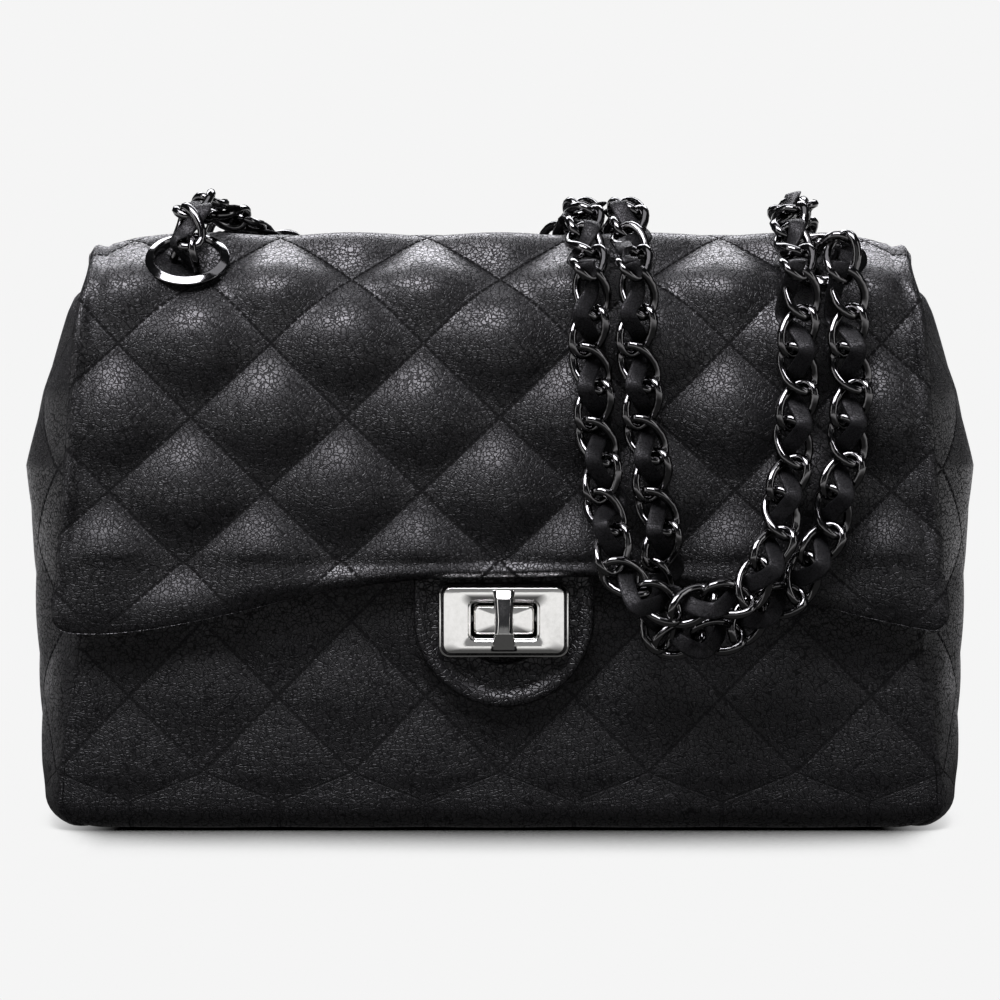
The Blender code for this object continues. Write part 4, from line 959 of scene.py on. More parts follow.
def rounded_outline(width: float, height: float, corner: float, count: int = 8) -> Array:
    """A rectangle with round corners: a quarter circle of count + 1 points at each."""
    turn = np.linspace(0, math.pi / 2, count + 1)
    ring = []
    for k, (sx, sy) in enumerate(((1, 1), (-1, 1), (-1, -1), (1, -1))):
        centre = np.array((sx * (width / 2 - corner), sy * (height / 2 - corner)))
        arc = np.column_stack((np.cos(turn + k * math.pi / 2), np.sin(turn + k * math.pi / 2)))
        ring.append(centre + corner * arc)
    return np.vstack(ring)


def level(ring: Array, height: float) -> Array:
    """A flat ring of points at a height."""
    return np.column_stack((ring, np.full(len(ring), height)))


def eased(rows: Sequence[Sequence[float]], edge: float, closed: bool, steps: int = 4) -> Array:
    """A profile whose corners are rounded: each is a parabola between points near it.

    Args:
        rows: the profile's corners.
        edge: distance of those points from the corner.
        closed: whether the profile's last row meets its first.
        steps: points on each corner, less one.

    Returns:
        The finer profile.
    """
    table = np.array(rows, float)
    count = len(table)
    t = np.linspace(0, 1, steps + 1)[:, None]
    fine = []
    for i in range(count):
        if not closed and i in (0, count - 1):
            fine.append(table[i:i + 1])
            continue
        here, before, after = table[i], table[i - 1], table[(i + 1) % count]
        start = here + (before - here) * min(0.45, edge / max(np.linalg.norm(before - here), 1e-6))
        end = here + (after - here) * min(0.45, edge / max(np.linalg.norm(after - here), 1e-6))
        fine.append((1 - t) ** 2 * start + 2 * t * (1 - t) * here + t**2 * end)
    return np.vstack(fine)


def revolved(profile: Array, count: int) -> Array:
    """Rings of a profile of radius and height turned about its axis."""
    turn = np.arange(count) / count * math.tau
    radius, height = profile[:, 0, None], profile[:, 1, None]
    return np.stack(np.broadcast_arrays(radius * np.cos(turn), radius * np.sin(turn), height), -1)


@dataclass
class Lock:
    """Tab, slotted plate, boss and turning knob, in the plane of the front panel.

    Plate, slot, boss, flange and window each hold a width, a height and a corner's
    radius. Rear and front are distances out from the panel. The knob holds a half width,
    a half length and a thickness, and each row of its shares a place along it, then the
    shares of its width and thickness there. The collar's rows are radii and distances out.
    """

    x: float = 1.2
    y: float = 50.43
    z: float = 66.3
    gap: float = 0.3
    plate: tuple = (39.6, 22.8, 3.2)
    slot: tuple = (22.0, 12.8, 2.5)
    boss: tuple = (18.5, 9.0, 1.5)
    flange: tuple = (24.7, 15.2, 2.5)
    window: tuple = (26.5, 17.0, 2.5)
    tab_half: float = 27.6
    tab_low: float = -27.1
    tab_top: float = 20.7
    tab_rear: float = 1.5
    tab_front: float = 5.0
    tab_hem: float = 4.0
    tab_points: int = 240
    plate_rear: float = 5.3
    plate_front: float = 9.3
    boss_front: float = 7.8
    knob_rear: float = 9.8
    knob: tuple = (3.6, 9.3, 5.4)
    knob_chamfer: float = 1.1
    knob_shares: tuple = (
        (-1.00, 1.12, 0.30), (-0.93, 1.14, 0.48), (-0.82, 1.04, 0.66), (-0.78, 0.98, 0.70),
        (-0.40, 0.80, 1.00), (0.02, 0.74, 0.84), (0.74, 0.84, 0.42), (0.78, 0.90, 0.38),
        (0.97, 0.92, 0.16), (1.00, 0.90, 0.12),
    )
    collar: tuple = ((0.01, 8.1), (2.9, 8.1), (2.9, 10.8), (0.01, 10.8))

    def placed(self, rings: Array) -> Array:
        """Rings in the lock's plane, as across, up and out, moved to where the lock is."""
        return np.stack((self.x + rings[..., 0], -self.y - rings[..., 2], self.z + rings[..., 1]), -1)

    def rectangles(self, rows: Sequence[Sequence[float]], edge: float, closed: bool = True) -> Array:
        """Rings of rounded rectangles from rows of width, height, corner and level."""
        profile = eased(rows, edge, closed)
        return np.array([level(rounded_outline(w, h, max(c, 0.2)), out) for w, h, c, out in profile])

    def tab_ring(self, inset: float, angles: Array) -> Array:
        """The D drawn in by inset, as its points in each direction from the lock's centre."""
        half = self.tab_half - inset
        centre = self.tab_low + self.tab_half
        arc = math.pi * (1 + np.linspace(0, 1, 80))
        bow = np.column_stack((half * np.cos(arc), centre + half * np.sin(arc)))
        top = self.tab_top - inset
        right = np.column_stack((np.full(24, half), np.linspace(centre, top, 24)))
        over = np.column_stack((np.linspace(half, -half, 60), np.full(60, top)))
        ring = np.vstack((bow, right, over, right[::-1] * (-1, 1)))
        return self.cast(ring, angles)

    def cast(self, ring: Array, angles: Array) -> Array:
        """An outline's points in each direction: its radius read by angle."""
        turn = np.mod(np.arctan2(ring[:, 1], ring[:, 0]), math.tau)
        order = np.argsort(turn)
        radius = np.interp(angles, turn[order], np.linalg.norm(ring, axis=1)[order], period=math.tau)
        return np.column_stack((radius * np.cos(angles), radius * np.sin(angles)))

    def tab_piece(self, finishes: Finishes) -> None:
        """The leather tab: a raised rolled rim round a sunk field with an opening for the boss."""
        angles = np.arange(self.tab_points) / self.tab_points * math.tau
        rear, front = self.tab_rear, self.tab_front


        rows = (
            (0.4, rear), (0.0, rear + 0.8), (0.0, front - 1.2), (0.5, front - 0.25),
            (1.6, front + 0.15), (3.0, front), (4.4, front - 0.75), (5.4, front - 1.15),
            (8.5, front - 0.75), (11.0, front - 0.5),
        )
        profile = eased(rows, 0.5, False, 3)
        rings = [level(self.tab_ring(inset, angles), height) for inset, height in profile]
        opening = self.cast(rounded_outline(*self.window, 24), angles)
        last = rings[-1][:, :2]
        rings += [level(last + (opening - last) * share, front - 0.5) for share in np.linspace(0, 1, 6)[1:]]
        rings += [level(opening, height) for height in (front - 0.7, rear + 0.2, rear)]
        rings.append(level(self.tab_ring(self.tab_hem, angles), rear))
        piece = tube("tab_leather", self.placed(np.array(rings)))
        finish_piece(piece, finishes.tab, "flap", "smooth_leather", "lock_tab")

    def plate_piece(self, finishes: Finishes) -> None:
        """The slotted plate: a steep bevel round a flat face, and a stepped slot."""
        (w, h, c), (sw, sh, sc) = self.plate, self.slot
        rear, front = self.plate_rear, self.plate_front
        rows = (
            (w, h, c, rear),
            (w, h, c, front - 2.4),
            (w - 1.1, h - 1.1, c - 0.3, front - 1.9),
            (w - 3.0, h - 3.0, c - 0.9, front),
            (sw, sh, sc, front),
            (sw - 0.5, sh - 0.5, sc - 0.2, front - 0.9),
            (sw - 1.6, sh - 1.6, sc - 0.8, front - 0.9),
            (sw - 2.0, sh - 2.0, sc - 1.0, front - 1.5),
            (sw - 2.0, sh - 2.0, sc - 1.0, rear),
        )
        piece = tube("plate_plated", self.placed(self.rectangles(rows, 0.22)))
        finish_piece(piece, finishes.silver, "flap", "polished_silver", "lock_plate")

    def boss_piece(self, finishes: Finishes) -> None:
        """The flange on the panel and the boss that stands in the slot."""
        (w, h, c), flange = self.boss, self.flange
        low, step, front = self.gap, self.gap + 1.2, self.boss_front
        rows = (
            (*flange, low), (*flange, step), (w, h, c, step), (w, h, c, front - 0.6),
            (w - 1.2, h - 1.2, c - 0.4, front), (2.0, 1.0, 0.3, front),
        )
        piece = tube("boss_plated", self.placed(self.rectangles(rows, 0.2, False)), wrap=False)
        finish_piece(piece, finishes.silver, "bag", "polished_silver", "lock_base")

    def knob_piece(self, finishes: Finishes) -> None:
        """The knob: a bar with a waist and two facets, whose section has eased front corners."""
        half_width, half_length, thickness = self.knob
        cut = self.knob_chamfer
        rings = []
        for place, wide, deep in eased(self.knob_shares, 0.045, False, 3):
            half, depth = wide * half_width, deep * thickness
            right = ((half, 0.0), (half, depth - cut), (half - cut, depth))
            left = ((cut - half, depth), (-half, depth - cut), (-half, 0.0))
            section = eased((*right, *left), 0.35, True, 3)
            up = np.full(len(section), place * half_length)
            rings.append(np.column_stack((section[:, 0], up, self.knob_rear + section[:, 1])))
        knob = self.placed(np.array(rings))[:, ::-1]
        collar = self.placed(revolved(eased(self.collar, 0.25, False), 32))
        bar = tube("knob_plated", knob, wrap=False)
        neck = tube("knob_collar", collar, wrap=False)
        finish_piece(bar, finishes.knob, "turn_knob", "polished_silver", "knob")
        finish_piece(neck, finishes.knob, "turn_knob", "polished_silver")

    def build(self, finishes: Finishes) -> None:
        """Make and dress the whole lock."""
        self.tab_piece(finishes)
        self.plate_piece(finishes)
        self.boss_piece(finishes)
        self.knob_piece(finishes)
        for node in (
            "lock_back_plate", "lock_rivet_left", "lock_rivet_right", "knob_spindle", "wave_washer",
            "plate_frame", "plate_pin_left", "plate_pin_right",
        ):
            dress_node(node, finishes.steel)


@dataclass
class Eyelets:
    """Four turned rings in the flap, each with a washer behind.

    Front and back each hold two points of the flap's line, as shares of the half depth
    and the height, between which the ring sits.
    """

    across: tuple = (-96.0, 99.81)
    bore: float = 9.9
    neck: float = 10.6
    radius: float = 13.0
    crown: float = 1.6
    gap: float = 0.3
    depth: float = 5.7
    front: tuple = ((-0.672, 0.9988), (-1.130, 0.9023))
    back: tuple = ((0.720, 0.944), (0.140, 0.943))

    def build(self, finishes: Finishes) -> None:
        """Make each eyelet: a bevelled collar with a rolled outer lip."""
        g, c = self.gap, self.crown
        rows = (
            (self.bore, -self.depth), (self.bore, g + c * 0.35), (self.bore + 0.55, g + c),
            (self.radius - 1.5, g + c * 0.72), (self.radius, g + c * 0.30), (self.radius, g),
            (self.neck, g), (self.neck, -self.depth),
        )
        profile = eased(rows, 0.3, True)
        for row, ends in (("front", self.front), ("back", self.back)):
            (y0, z0), (y1, z1) = ((y * DEPTH, z * HEIGHT) for y, z in ends)
            turn = math.atan2(z0 - z1, y0 - y1)
            cos, sin = math.cos(turn), math.sin(turn)
            across, up, out = np.moveaxis(revolved(profile, 72), -1, 0)
            y = up * cos - out * sin + (y0 + y1) / 2
            z = up * sin + out * cos + (z0 + z1) / 2
            for side, x in zip(("left", "right"), self.across):
                rings = np.stack((across + x, y, z), -1)[:, ::-1]
                piece = tube(f"eyelet_{row}_{side}_ring", rings)
                finish_piece(piece, finishes.gunmetal, "flap", "gunmetal", f"eyelet_{row}_{side}")
                dress_node(f"eyelet_washer_{row}_{side}", finishes.steel)


# Chain strap


def square(direction: Array, path: Array) -> Array:
    """Directions made perpendicular to paths, and of unit length."""
    path = unit(path)
    return unit(direction - path * (direction * path).sum(-1, keepdims=True))


def wrap_turn(vector: Array, axis: Array, angle: Array) -> Array:
    """Vectors turned about unit axes perpendicular to them."""
    return np.cos(angle)[..., None] * vector + np.sin(angle)[..., None] * np.cross(axis, vector)


def rounded(x: Array, power: float) -> Array:
    """A sine or cosine raised to a power with its sign kept, which makes a circle squarish."""
    return np.sign(x) * np.abs(x) ** power


class Route:
    """The strap's middle line, with its outward direction carried along it without twist."""

    def __init__(self, shares: Sequence[Sequence[float]], out_at_ends: Array) -> None:
        """Smooth the route and work out its frames.

        Args:
            shares: points as shares of half width, depth and height.
            out_at_ends: outward direction at the start and at the end.
        """
        self.points = smooth_curve(np.array(shares) * UNIT, 10)
        self.tangents = unit(np.gradient(self.points, axis=0))
        outs = [square(out_at_ends, self.tangents[0])]
        for tangent in self.tangents[1:]:
            outs.append(square(outs[-1], tangent))
        last = square(out_at_ends, self.tangents[-1])
        twist = math.atan2(np.cross(outs[-1], last) @ self.tangents[-1], outs[-1] @ last)
        self.outs = wrap_turn(np.array(outs), self.tangents, twist * np.linspace(0, 1, len(outs)))
        self.along = along(self.points)
        self.length = float(self.along[-1])

    def read(self, table: Array, distance: float) -> Array:
        """A table's row at a distance along the route."""
        return np.array([np.interp(distance, self.along, column) for column in table.T])

    def point(self, distance: float) -> Array:
        """The point at a distance, past the end in a straight line."""
        return self.read(self.points, distance) + max(0.0, distance - self.length) * self.tangents[-1]

    def out(self, distance: float) -> Array:
        """The outward direction at a distance."""
        return unit(self.read(self.outs, distance))

    def side(self, distance: float) -> Array:
        """The sideways direction at a distance."""
        return unit(np.cross(self.read(self.tangents, distance), self.out(distance)))


@dataclass
class Link:
    """One link: its two ends, the way across its plane, and whether it lies edge on."""

    start: Array
    end: Array
    wide: Array
    edge_on: bool


@dataclass
class Strand:
    """One stretch of the strap: links that bear on each other, and the lace woven through.

    Each link bites a little into the next, so that they bear. A stretch that starts edge
    on has its end links reach over the loops' ends with some slack. Where the path is
    flatter than flat_path, the links lean to lie on the roof. The lace is tied at the
    ends of a stretch, unless more than one link is left bare there.
    """

    name: str
    body: str
    shares: tuple
    edge_first: bool
    out_at_ends: tuple[float, float, float]
    bare: tuple[int, int] = (1, 1)
    wire: float = 1.4
    wire_steps: int = 24
    wire_sides: int = 8
    link_length: float = 17.8
    link_width: float = 12.0
    bite: float = 0.15
    slack: float = 0.8
    take_up: float = 0.03
    twist: float = -0.72
    lean: float = 1.0
    flat_path: float = 0.35
    lace_width: float = 5.2
    lace: float = 1.1
    lace_side: float = 4.1
    lace_out: float = 4.2
    face_turn: float = math.radians(30)
    tie: tuple[float, float, float] = (0.0, -4.2, 1.9)
    trials: tuple = (0.55, 0.7, 0.85, 1.0, 1.15)
    turns: tuple = (-0.5, -0.25, 0.0, 0.25, 0.5)

    def walk(self, count: int, sway: float) -> tuple[list[Array], list[float]]:
        """Lay links from the route's start, each where its far end is just in reach.

        Args:
            count: how many.
            sway: how far the points where they bear lie to either side by turns.

        Returns:
            Those points, and their distances along the route.
        """
        apart = self.link_length - 2 * self.wire
        hook = self.wire - self.bite
        joints, places = [self.route.point(0.0)], [0.0]
        for k in range(1, count + 1):
            reach = apart - hook - self.end_reach if k in (1, count) else apart - 2 * hook
            offset = 0.0 if k == count else sway * (-1) ** k
            low, high = places[-1], places[-1] + 2 * self.link_length
            for _ in range(40):
                middle = (low + high) / 2
                far = self.route.point(middle) + offset * self.route.side(middle) - joints[-1]
                low, high = (low, middle) if np.linalg.norm(far) > reach else (middle, high)
            places.append((low + high) / 2)
            joints.append(self.route.point(places[-1]) + offset * self.route.side(places[-1]))
        return joints, places

    def lay(self) -> None:
        """Choose the fewest links, odd in number, and the sway that takes up what is left."""
        self.route = Route(self.shares, np.array(self.out_at_ends))
        self.end_reach = 2 * self.wire + self.slack if self.edge_first else 0.0
        self.sense = -1 if self.edge_first else 1
        length = self.route.length
        count = 3
        while self.walk(count, 0.0)[1][-1] < (1 + self.take_up) * length:
            count += 2
        low, high = 0.0, self.link_width / 2
        for _ in range(24):
            sway = (low + high) / 2
            too_long = self.walk(count, self.sense * sway)[1][-1] > length
            low, high = (sway, high) if too_long else (low, sway)
        self.joints, self.places = self.walk(count, self.sense * sway)
        self.links = [self.link(k, count) for k in range(count)]

    def link(self, k: int, count: int) -> Link:
        """One link, from a hook's length before its first bearing point to as far past its second."""
        path = unit(self.joints[k + 1] - self.joints[k])
        hook = self.wire - self.bite
        start = self.joints[k] - path * (self.end_reach if k == 0 else hook)
        end = self.joints[k + 1] + path * (self.end_reach if k == count - 1 else hook)
        lean = self.lean if abs(path[2]) < self.flat_path else 1.0
        wide = self.route.side(self.middle(k)) * (1.0, 1.0, lean)
        return Link(start, end, square(wide, path), (k % 2 == 0) == self.edge_first)

    def middle(self, k: int) -> float:
        """Distance along the route of a link's middle."""
        return (self.places[k] + self.places[k + 1]) / 2

    def ovals(self) -> tuple[Array, Array]:
        """Centre lines of every link, and the outward directions along them.

        Each is a squarish ellipse, whose plane turns evenly from one end to the other by
        twice the twist.
        """
        starts, ends, wides = (
            np.array([getattr(link, part) for link in self.links]) for part in ("start", "end", "wide")
        )
        paths = unit(ends - starts)[:, None]
        length = np.linalg.norm(ends - starts, axis=1)[:, None]
        angle = (np.arange(self.wire_steps) + 0.5) / self.wire_steps * math.tau
        cos, sin = np.cos(angle), np.sin(angle)
        across = (self.link_width / 2 - self.wire) * rounded(cos, 0.8)
        forward = rounded(sin, 0.9) * length / 2
        middle = (starts + ends)[:, None] / 2 + forward[..., None] * paths
        wide, path = (np.broadcast_to(table, middle.shape) for table in (wides[:, None], paths))
        plane = wrap_turn(wide, path, self.twist * 2 * forward / length)
        outward = unit(cos[None, :, None] * plane + sin[None, :, None] * paths)
        return middle + across[None, :, None] * plane, outward

    def chain_piece(self, finishes: Finishes) -> None:
        """The chain as one mesh of round wires bent to ovals."""
        steps, sides = self.wire_steps, self.wire_sides
        centre, outward = self.ovals()
        tangent = unit(np.roll(centre, -1, axis=1) - np.roll(centre, 1, axis=1))
        outward = square(outward, tangent)
        normal = np.cross(tangent, outward)
        turn = np.arange(sides) / sides * math.tau
        cos, sin = np.cos(turn)[:, None], np.sin(turn)[:, None]
        rings = centre[:, :, None] + self.wire * (cos * outward[:, :, None] + sin * normal[:, :, None])
        one = grid_quads(steps, sides, wrap_rows=True, wrap_columns=True)
        first = np.arange(len(self.links))[:, None, None] * steps * sides
        piece = make_mesh(self.name + "_links", rings.reshape(-1, 3), [(one[None] + first).reshape(-1, 4)])
        finish_piece(piece, finishes.gunmetal, self.body, "gunmetal", self.name + "_chain")

    def strip(self, stations: list[tuple[Array, Array]]) -> Array:
        """Points over a strip through stations of a centre and a width direction."""
        share = np.linspace(0, 1, 6)[:, None]
        lines = []
        for (centre, wide), (after, after_wide) in zip(stations, stations[1:]):
            for u in (-self.lace_width / 2, 0.0, self.lace_width / 2):
                lines.append((centre + u * wide) * (1 - share) + (after + u * after_wide) * share)
        return np.vstack(lines)

    def in_link(self, k: int, path: Array) -> tuple[Array, Array]:
        """The lace's place and width direction in the middle of a link."""
        middle = self.middle(k)
        turn = 0.0 if self.links[k].edge_on else self.face_turn
        wide = math.cos(turn) * self.route.side(middle) + math.sin(turn) * self.route.out(middle)
        return (self.joints[k] + self.joints[k + 1]) / 2, square(wide, path)

    def passing(self, k: int, side_share: float, out_share: float) -> Array:
        """The lace's place as it passes outside the point where two links bear."""
        out, side = self.route.out(self.places[k]), self.route.side(self.places[k])
        away = side_share * self.lace_side * side + out_share * self.lace_out * out
        return self.route.point(self.places[k]) + self.sense * (-1) ** (k + 1) * away

    def stations(self) -> list[tuple[Array, Array]]:
        """The lace's places: of the offsets tried, those that keep it clearest of the wires."""
        centre, _ = self.ovals()
        chosen: list[tuple[Array, Array]] = []
        last = len(self.links) - self.bare[1]
        for k in range(self.bare[0], last + 1):
            out, side = self.route.out(self.places[k]), self.route.side(self.places[k])
            near = centre[max(k - 2, 0):k + 2].reshape(-1, 3)
            earlier = chosen[-2][0] if chosen else self.joints[k - 1]
            later = self.passing(k + 1, 1, 1) if k < last else self.joints[k + 1]
            clearest = -1.0
            for side_share, out_share, turn in product(self.trials, self.trials, self.turns):
                place = self.passing(k, side_share, out_share)
                before, after = self.in_link(k - 1, place - earlier), self.in_link(k, later - place)
                wide = square(math.cos(turn) * side + math.sin(turn) * out, after[0] - before[0])
                trial = [before, (place, wide), after]
                clear = np.linalg.norm(self.strip(trial)[:, None] - near[None], axis=2).min()
                if clear > clearest:
                    clearest, best = clear, trial
            chosen[-1:] = best if k < last else best[:2]
        sideways = np.array((1.0, 0.0, 0.0))
        first, final = (
            [(self.joints[i] + self.tie, sideways)] if self.bare[i] == 1 else [] for i in (0, -1)
        )
        return first + chosen + final

    def lace_piece(self, finishes: Finishes) -> None:
        """The lace: a flat strip with round edges on a smooth curve through its stations."""
        fine = smooth_curve(np.array([np.concatenate(station) for station in self.stations()]), 5)
        centre, wide = fine[:, :3], fine[:, 3:]
        path = unit(np.gradient(centre, axis=0))
        wide = square(wide, path)
        thick = np.cross(path, wide)
        turn = np.arange(12) / 12 * math.tau
        u = rounded(np.cos(turn), 0.6)[None, :, None] * self.lace_width / 2
        v = rounded(np.sin(turn), 0.7)[None, :, None] * self.lace / 2
        rings = centre[:, None] + u * wide[:, None] + v * thick[:, None]
        piece = tube(self.name + "_strip", rings, wrap=False)
        finish_piece(piece, finishes.lace, self.body, "smooth_leather", self.name + "_lace")

    def build(self, finishes: Finishes) -> None:
        """Lay the links, then make the chain and the lace."""
        self.lay()
        self.chain_piece(finishes)
        self.lace_piece(finishes)


@dataclass
class Strap:
    """The chain strap: two loops that hang at the front and two runs through the eyelets.

    The points are shares of the half width, half depth and height. A loop and the run
    that it hangs from share their end points.
    """

    forward: tuple = (0.0, -1.0, 0.0)
    up: tuple = (0.0, -0.38, 0.92)
    loop_front: tuple = (
        (0.173, -1.352, 0.9363), (0.177, -1.352, 0.853), (0.184, -1.352, 0.766),
        (0.193, -1.352, 0.680), (0.204, -1.380, 0.604), (0.213, -1.480, 0.529),
        (0.227, -1.580, 0.470), (0.263, -1.610, 0.414), (0.343, -1.580, 0.388),
        (0.440, -1.540, 0.396), (0.513, -1.520, 0.418), (0.550, -1.490, 0.486),
        (0.572, -1.400, 0.561), (0.591, -1.356, 0.648), (0.600, -1.352, 0.739),
        (0.600, -1.352, 0.836), (0.595, -1.352, 0.9363),
    )
    loop_rear: tuple = (
        (0.264, -1.352, 0.9363), (0.273, -1.352, 0.853), (0.281, -1.352, 0.766),
        (0.291, -1.352, 0.680), (0.305, -1.352, 0.604), (0.321, -1.352, 0.529),
        (0.330, -1.352, 0.472), (0.318, -1.352, 0.424), (0.300, -1.352, 0.384),
        (0.312, -1.352, 0.345), (0.370, -1.352, 0.322), (0.453, -1.352, 0.338),
        (0.533, -1.352, 0.378), (0.600, -1.352, 0.416), (0.647, -1.352, 0.480),
        (0.677, -1.352, 0.556), (0.699, -1.352, 0.637), (0.707, -1.352, 0.723),
        (0.704, -1.352, 0.809), (0.693, -1.352, 0.880), (0.685, -1.352, 0.9363),
    )
    run_left: tuple = (
        (0.173, -1.352, 0.9363), (0.173, -1.080, 0.979), (0.173, -0.820, 1.026),
        (0.173, -0.580, 1.041), (0.170, -0.360, 1.028), (0.150, -0.140, 1.000),
        (0.080, 0.100, 0.976), (-0.060, 0.150, 0.968), (-0.220, 0.150, 0.968),
        (-0.360, 0.140, 0.968), (-0.470, 0.080, 0.976), (-0.555, -0.240, 1.018),
        (-0.615, -0.640, 1.047), (-0.638, -0.880, 1.030), (-0.640, -0.975, 0.990),
        (-0.641, -0.930, 0.945), (-0.641, -0.800, 0.905), (-0.641, -0.560, 0.870),
        (-0.641, -0.200, 0.852), (-0.641, 0.160, 0.848), (-0.641, 0.360, 0.872),
        (-0.641, 0.430, 0.920), (-0.640, 0.440, 0.975), (-0.622, 0.440, 1.012),
        (-0.570, 0.445, 1.010), (-0.490, 0.455, 0.984), (-0.390, 0.455, 0.970),
        (-0.260, 0.455, 0.968), (-0.067, 0.440, 0.968), (0.107, 0.400, 0.968), (0.200, 0.260, 0.974),
        (0.245, 0.040, 0.986), (0.260, -0.180, 1.006), (0.263, -0.380, 1.030),
        (0.264, -0.580, 1.041), (0.264, -0.820, 1.026), (0.264, -1.080, 0.979),
        (0.264, -1.352, 0.9363),
    )
    run_right: tuple = (
        (0.595, -1.352, 0.9363), (0.595, -1.080, 0.979), (0.595, -0.820, 1.026),
        (0.596, -0.580, 1.041), (0.600, -0.360, 1.030), (0.612, -0.150, 1.020),
        (0.630, 0.020, 1.024), (0.647, 0.160, 1.032), (0.660, 0.310, 1.030),
        (0.667, 0.440, 1.002), (0.668, 0.460, 0.945), (0.666, 0.390, 0.890),
        (0.665, 0.240, 0.856), (0.665, 0.020, 0.846), (0.665, -0.240, 0.851),
        (0.665, -0.600, 0.872), (0.665, -0.810, 0.907), (0.666, -0.950, 0.953),
        (0.671, -1.100, 0.992), (0.680, -1.270, 0.984), (0.685, -1.352, 0.9363),
    )

    def build(self, finishes: Finishes) -> None:
        """Make all four strands."""
        for strand in (
            Strand("loop_front", "strap_loops", self.loop_front, False, self.forward),
            Strand("loop_rear", "strap_loops", self.loop_rear, False, self.forward),
            Strand("run_left", "flap", self.run_left, True, self.up, lean=0.7, lace_out=2.4),
            Strand("run_right", "flap", self.run_right, True, self.up, (1, 4), lace_out=2.4),
        ):
            strand.build(finishes)


# Camera, floor and light


@dataclass(frozen=True)
class Lamp:
    """An area lamp: where it stands and its size in metres, its power in watts, its colour."""

    name: str
    place: tuple[float, float, float]
    size: tuple[float, float]
    power: float
    tint: Colour

    def build(self, aim: float) -> None:
        """Make the lamp, faced at a height above the origin."""
        data = bpy.data.lights.new(self.name, "AREA")
        data.shape = "RECTANGLE"
        data.size, data.size_y = self.size
        data.energy = self.power
        data.color = self.tint
        lamp = bpy.data.objects.new(self.name, data)
        lamp.location = self.place
        x, y, z = self.place
        lamp.rotation_euler = (math.atan2(math.hypot(x, y), z - aim), 0.0, math.atan2(x, -y))
        bpy.context.scene.collection.objects.link(lamp)


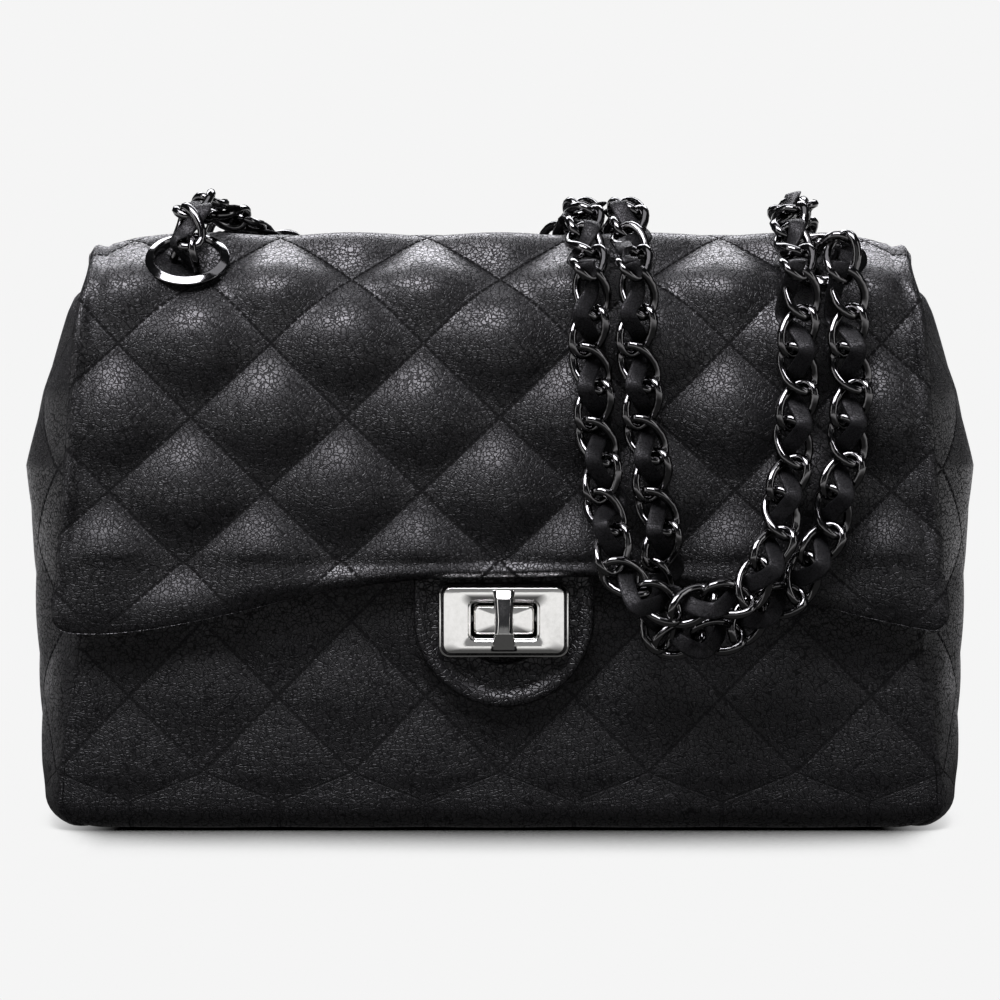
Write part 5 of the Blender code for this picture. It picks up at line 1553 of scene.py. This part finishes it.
class Studio:
    """Camera at the photograph's angle, pale floor, soft lamps. Lengths are in metres."""

    pale = (0.913, 0.913, 0.913)
    aim = 0.1
    distance = 1.3
    above = math.radians(3)
    sensor = 36.0
    zoom = 4.073
    floor_radius = 30.0
    # reach of the floor's painted shadow, in metres
    painted_shadow_reach = 0.07
    lamps = (
        Lamp("key_lamp", (-0.35, -0.85, 1.5), (1.3, 0.8), 72.0, (0.96, 0.95, 1.0)),
        Lamp("top_lamp", (0.0, -0.15, 1.4), (1.4, 0.6), 4.0, (0.96, 0.96, 1.0)),
        Lamp("front_card", (0.0, -2.2, 0.42), (2.2, 0.7), 1.0, (1.0, 1.0, 1.0)),
        Lamp("left_lamp", (-1.3, -0.7, 0.6), (0.35, 0.9), 2.2, (1.0, 1.0, 1.0)),
        Lamp("right_lamp", (1.3, -0.7, 0.6), (0.35, 0.9), 2.2, (1.0, 1.0, 1.0)),
        Lamp("back_lamp", (0.0, 1.2, 1.2), (1.6, 0.6), 26.0, (0.96, 0.96, 1.0)),
    )

    def camera(self) -> None:
        """Camera a little above the point that it looks at, the bag's middle."""
        data = bpy.data.cameras.new("camera")
        data.sensor_width = self.sensor
        data.lens = self.sensor * self.zoom
        data.clip_end = 100.0
        camera = bpy.data.objects.new("camera", data)
        back, up = self.distance * math.cos(self.above), self.distance * math.sin(self.above)
        camera.location = (0.0, -back, self.aim + up)
        camera.rotation_euler = (math.pi / 2 - self.above, 0.0, 0.0)
        bpy.context.scene.collection.objects.link(camera)
        bpy.context.scene.camera = camera

    def floor(self) -> None:
        """A wide pale floor with a painted soft shadow.

        The camera sees it glow in the background's colour, with painted shadow where the bag
        stands close over it and not beyond the bag's ends. Reflections see it glow: painted
        shade near the bag, bright further off. All other light meets a plain pale surface.
        """
        turn = np.linspace(0, math.tau, 65)[:-1]
        circle = np.column_stack((np.cos(turn), np.sin(turn), np.zeros(64))) * self.floor_radius / MM
        j = np.arange(64)
        fan = np.column_stack((np.full(64, 64), j, (j + 1) % 64))
        floor = make_mesh("floor", np.vstack((circle, (0.0, 0.0, 0.0))), [fan])
        material, nodes, shader, place = new_material("pale_floor")
        nodes.fill(shader, {"Base Color": (*self.pale, 1), "Roughness": 0.9, "Specular IOR Level": 0.0})
        # painted shadow: ambient occlusion darkens the floor's glow where the bag stands close over it, only
        # within the bag's width
        near = nodes.add("ShaderNodeAmbientOcclusion", {"Distance": self.painted_shadow_reach}, samples=12).outputs["AO"]
        beside = nodes.add("ShaderNodeSeparateXYZ", {0: place["Object"]}).outputs[0]
        beyond = nodes.ramp(nodes.math("ABSOLUTE", beside), 0.118, 0.150, curve=SMOOTH)
        shade = nodes.math("ADD", nodes.ramp(near, 0.42, 0.88), beyond, clamp=True)
        painted_shadow_colour = nodes.blend(shade, (0.0, 0.0, 0.0), self.pale)
        length = nodes.add("ShaderNodeVectorMath", {0: place["Object"]}, operation="LENGTH").outputs["Value"]
        # painted reflection: for reflections the floor glows white, dim near the bag and bright further off
        far = nodes.ramp(length, 0.30, 0.75, 0.08, 1.0)
        painted_shadow_floor = nodes.add("ShaderNodeEmission", {"Color": painted_shadow_colour, "Strength": 1.0})
        painted_reflection = nodes.add("ShaderNodeEmission", {"Color": (1.0, 1.0, 1.0, 1), "Strength": far})
        path = nodes.add("ShaderNodeLightPath").outputs
        mixed = nodes.either(path["Is Camera Ray"], shader, painted_shadow_floor)
        mixed = nodes.either(path["Is Glossy Ray"], mixed, painted_reflection)
        nodes.fill(nodes.tree.nodes["Material Output"], {0: mixed.outputs[0]})
        floor.data.materials.append(material)

    def world(self) -> None:
        """A dim grey sky, which the camera sees in the background's colour."""
        world = bpy.data.worlds.new("studio")
        bpy.context.scene.world = world
        world.use_nodes = True
        nodes = Nodes(world.node_tree)
        sky = nodes.fill(nodes.tree.nodes["Background"], {"Color": (0.9, 0.93, 1.0, 1), "Strength": 0.035})
        back = nodes.add("ShaderNodeBackground", {"Color": (*self.pale, 1), "Strength": 1.0})
        path = nodes.add("ShaderNodeLightPath").outputs
        mixed = nodes.either(path["Is Camera Ray"], sky, back)
        nodes.fill(nodes.tree.nodes["World Output"], {0: mixed.outputs[0]})

    def build(self) -> None:
        """Set up the whole studio."""
        self.camera()
        self.floor()
        self.world()
        for lamp in self.lamps:
            lamp.build(self.aim)
        bpy.context.scene.view_settings.view_transform = "Standard"


def main() -> None:
    """Build the handbag's looks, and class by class."""
    logging.basicConfig(level=logging.INFO, format="%(message)s")
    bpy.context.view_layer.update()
    Studio().build()
    finishes = Finishes()
    Body().build(finishes)
    Flap().build(finishes)
    Lock().build(finishes)
    Eyelets().build(finishes)
    Strap().build(finishes)
    dress_node("base_board", finishes.board)


if __name__ == "__main__":
    main()
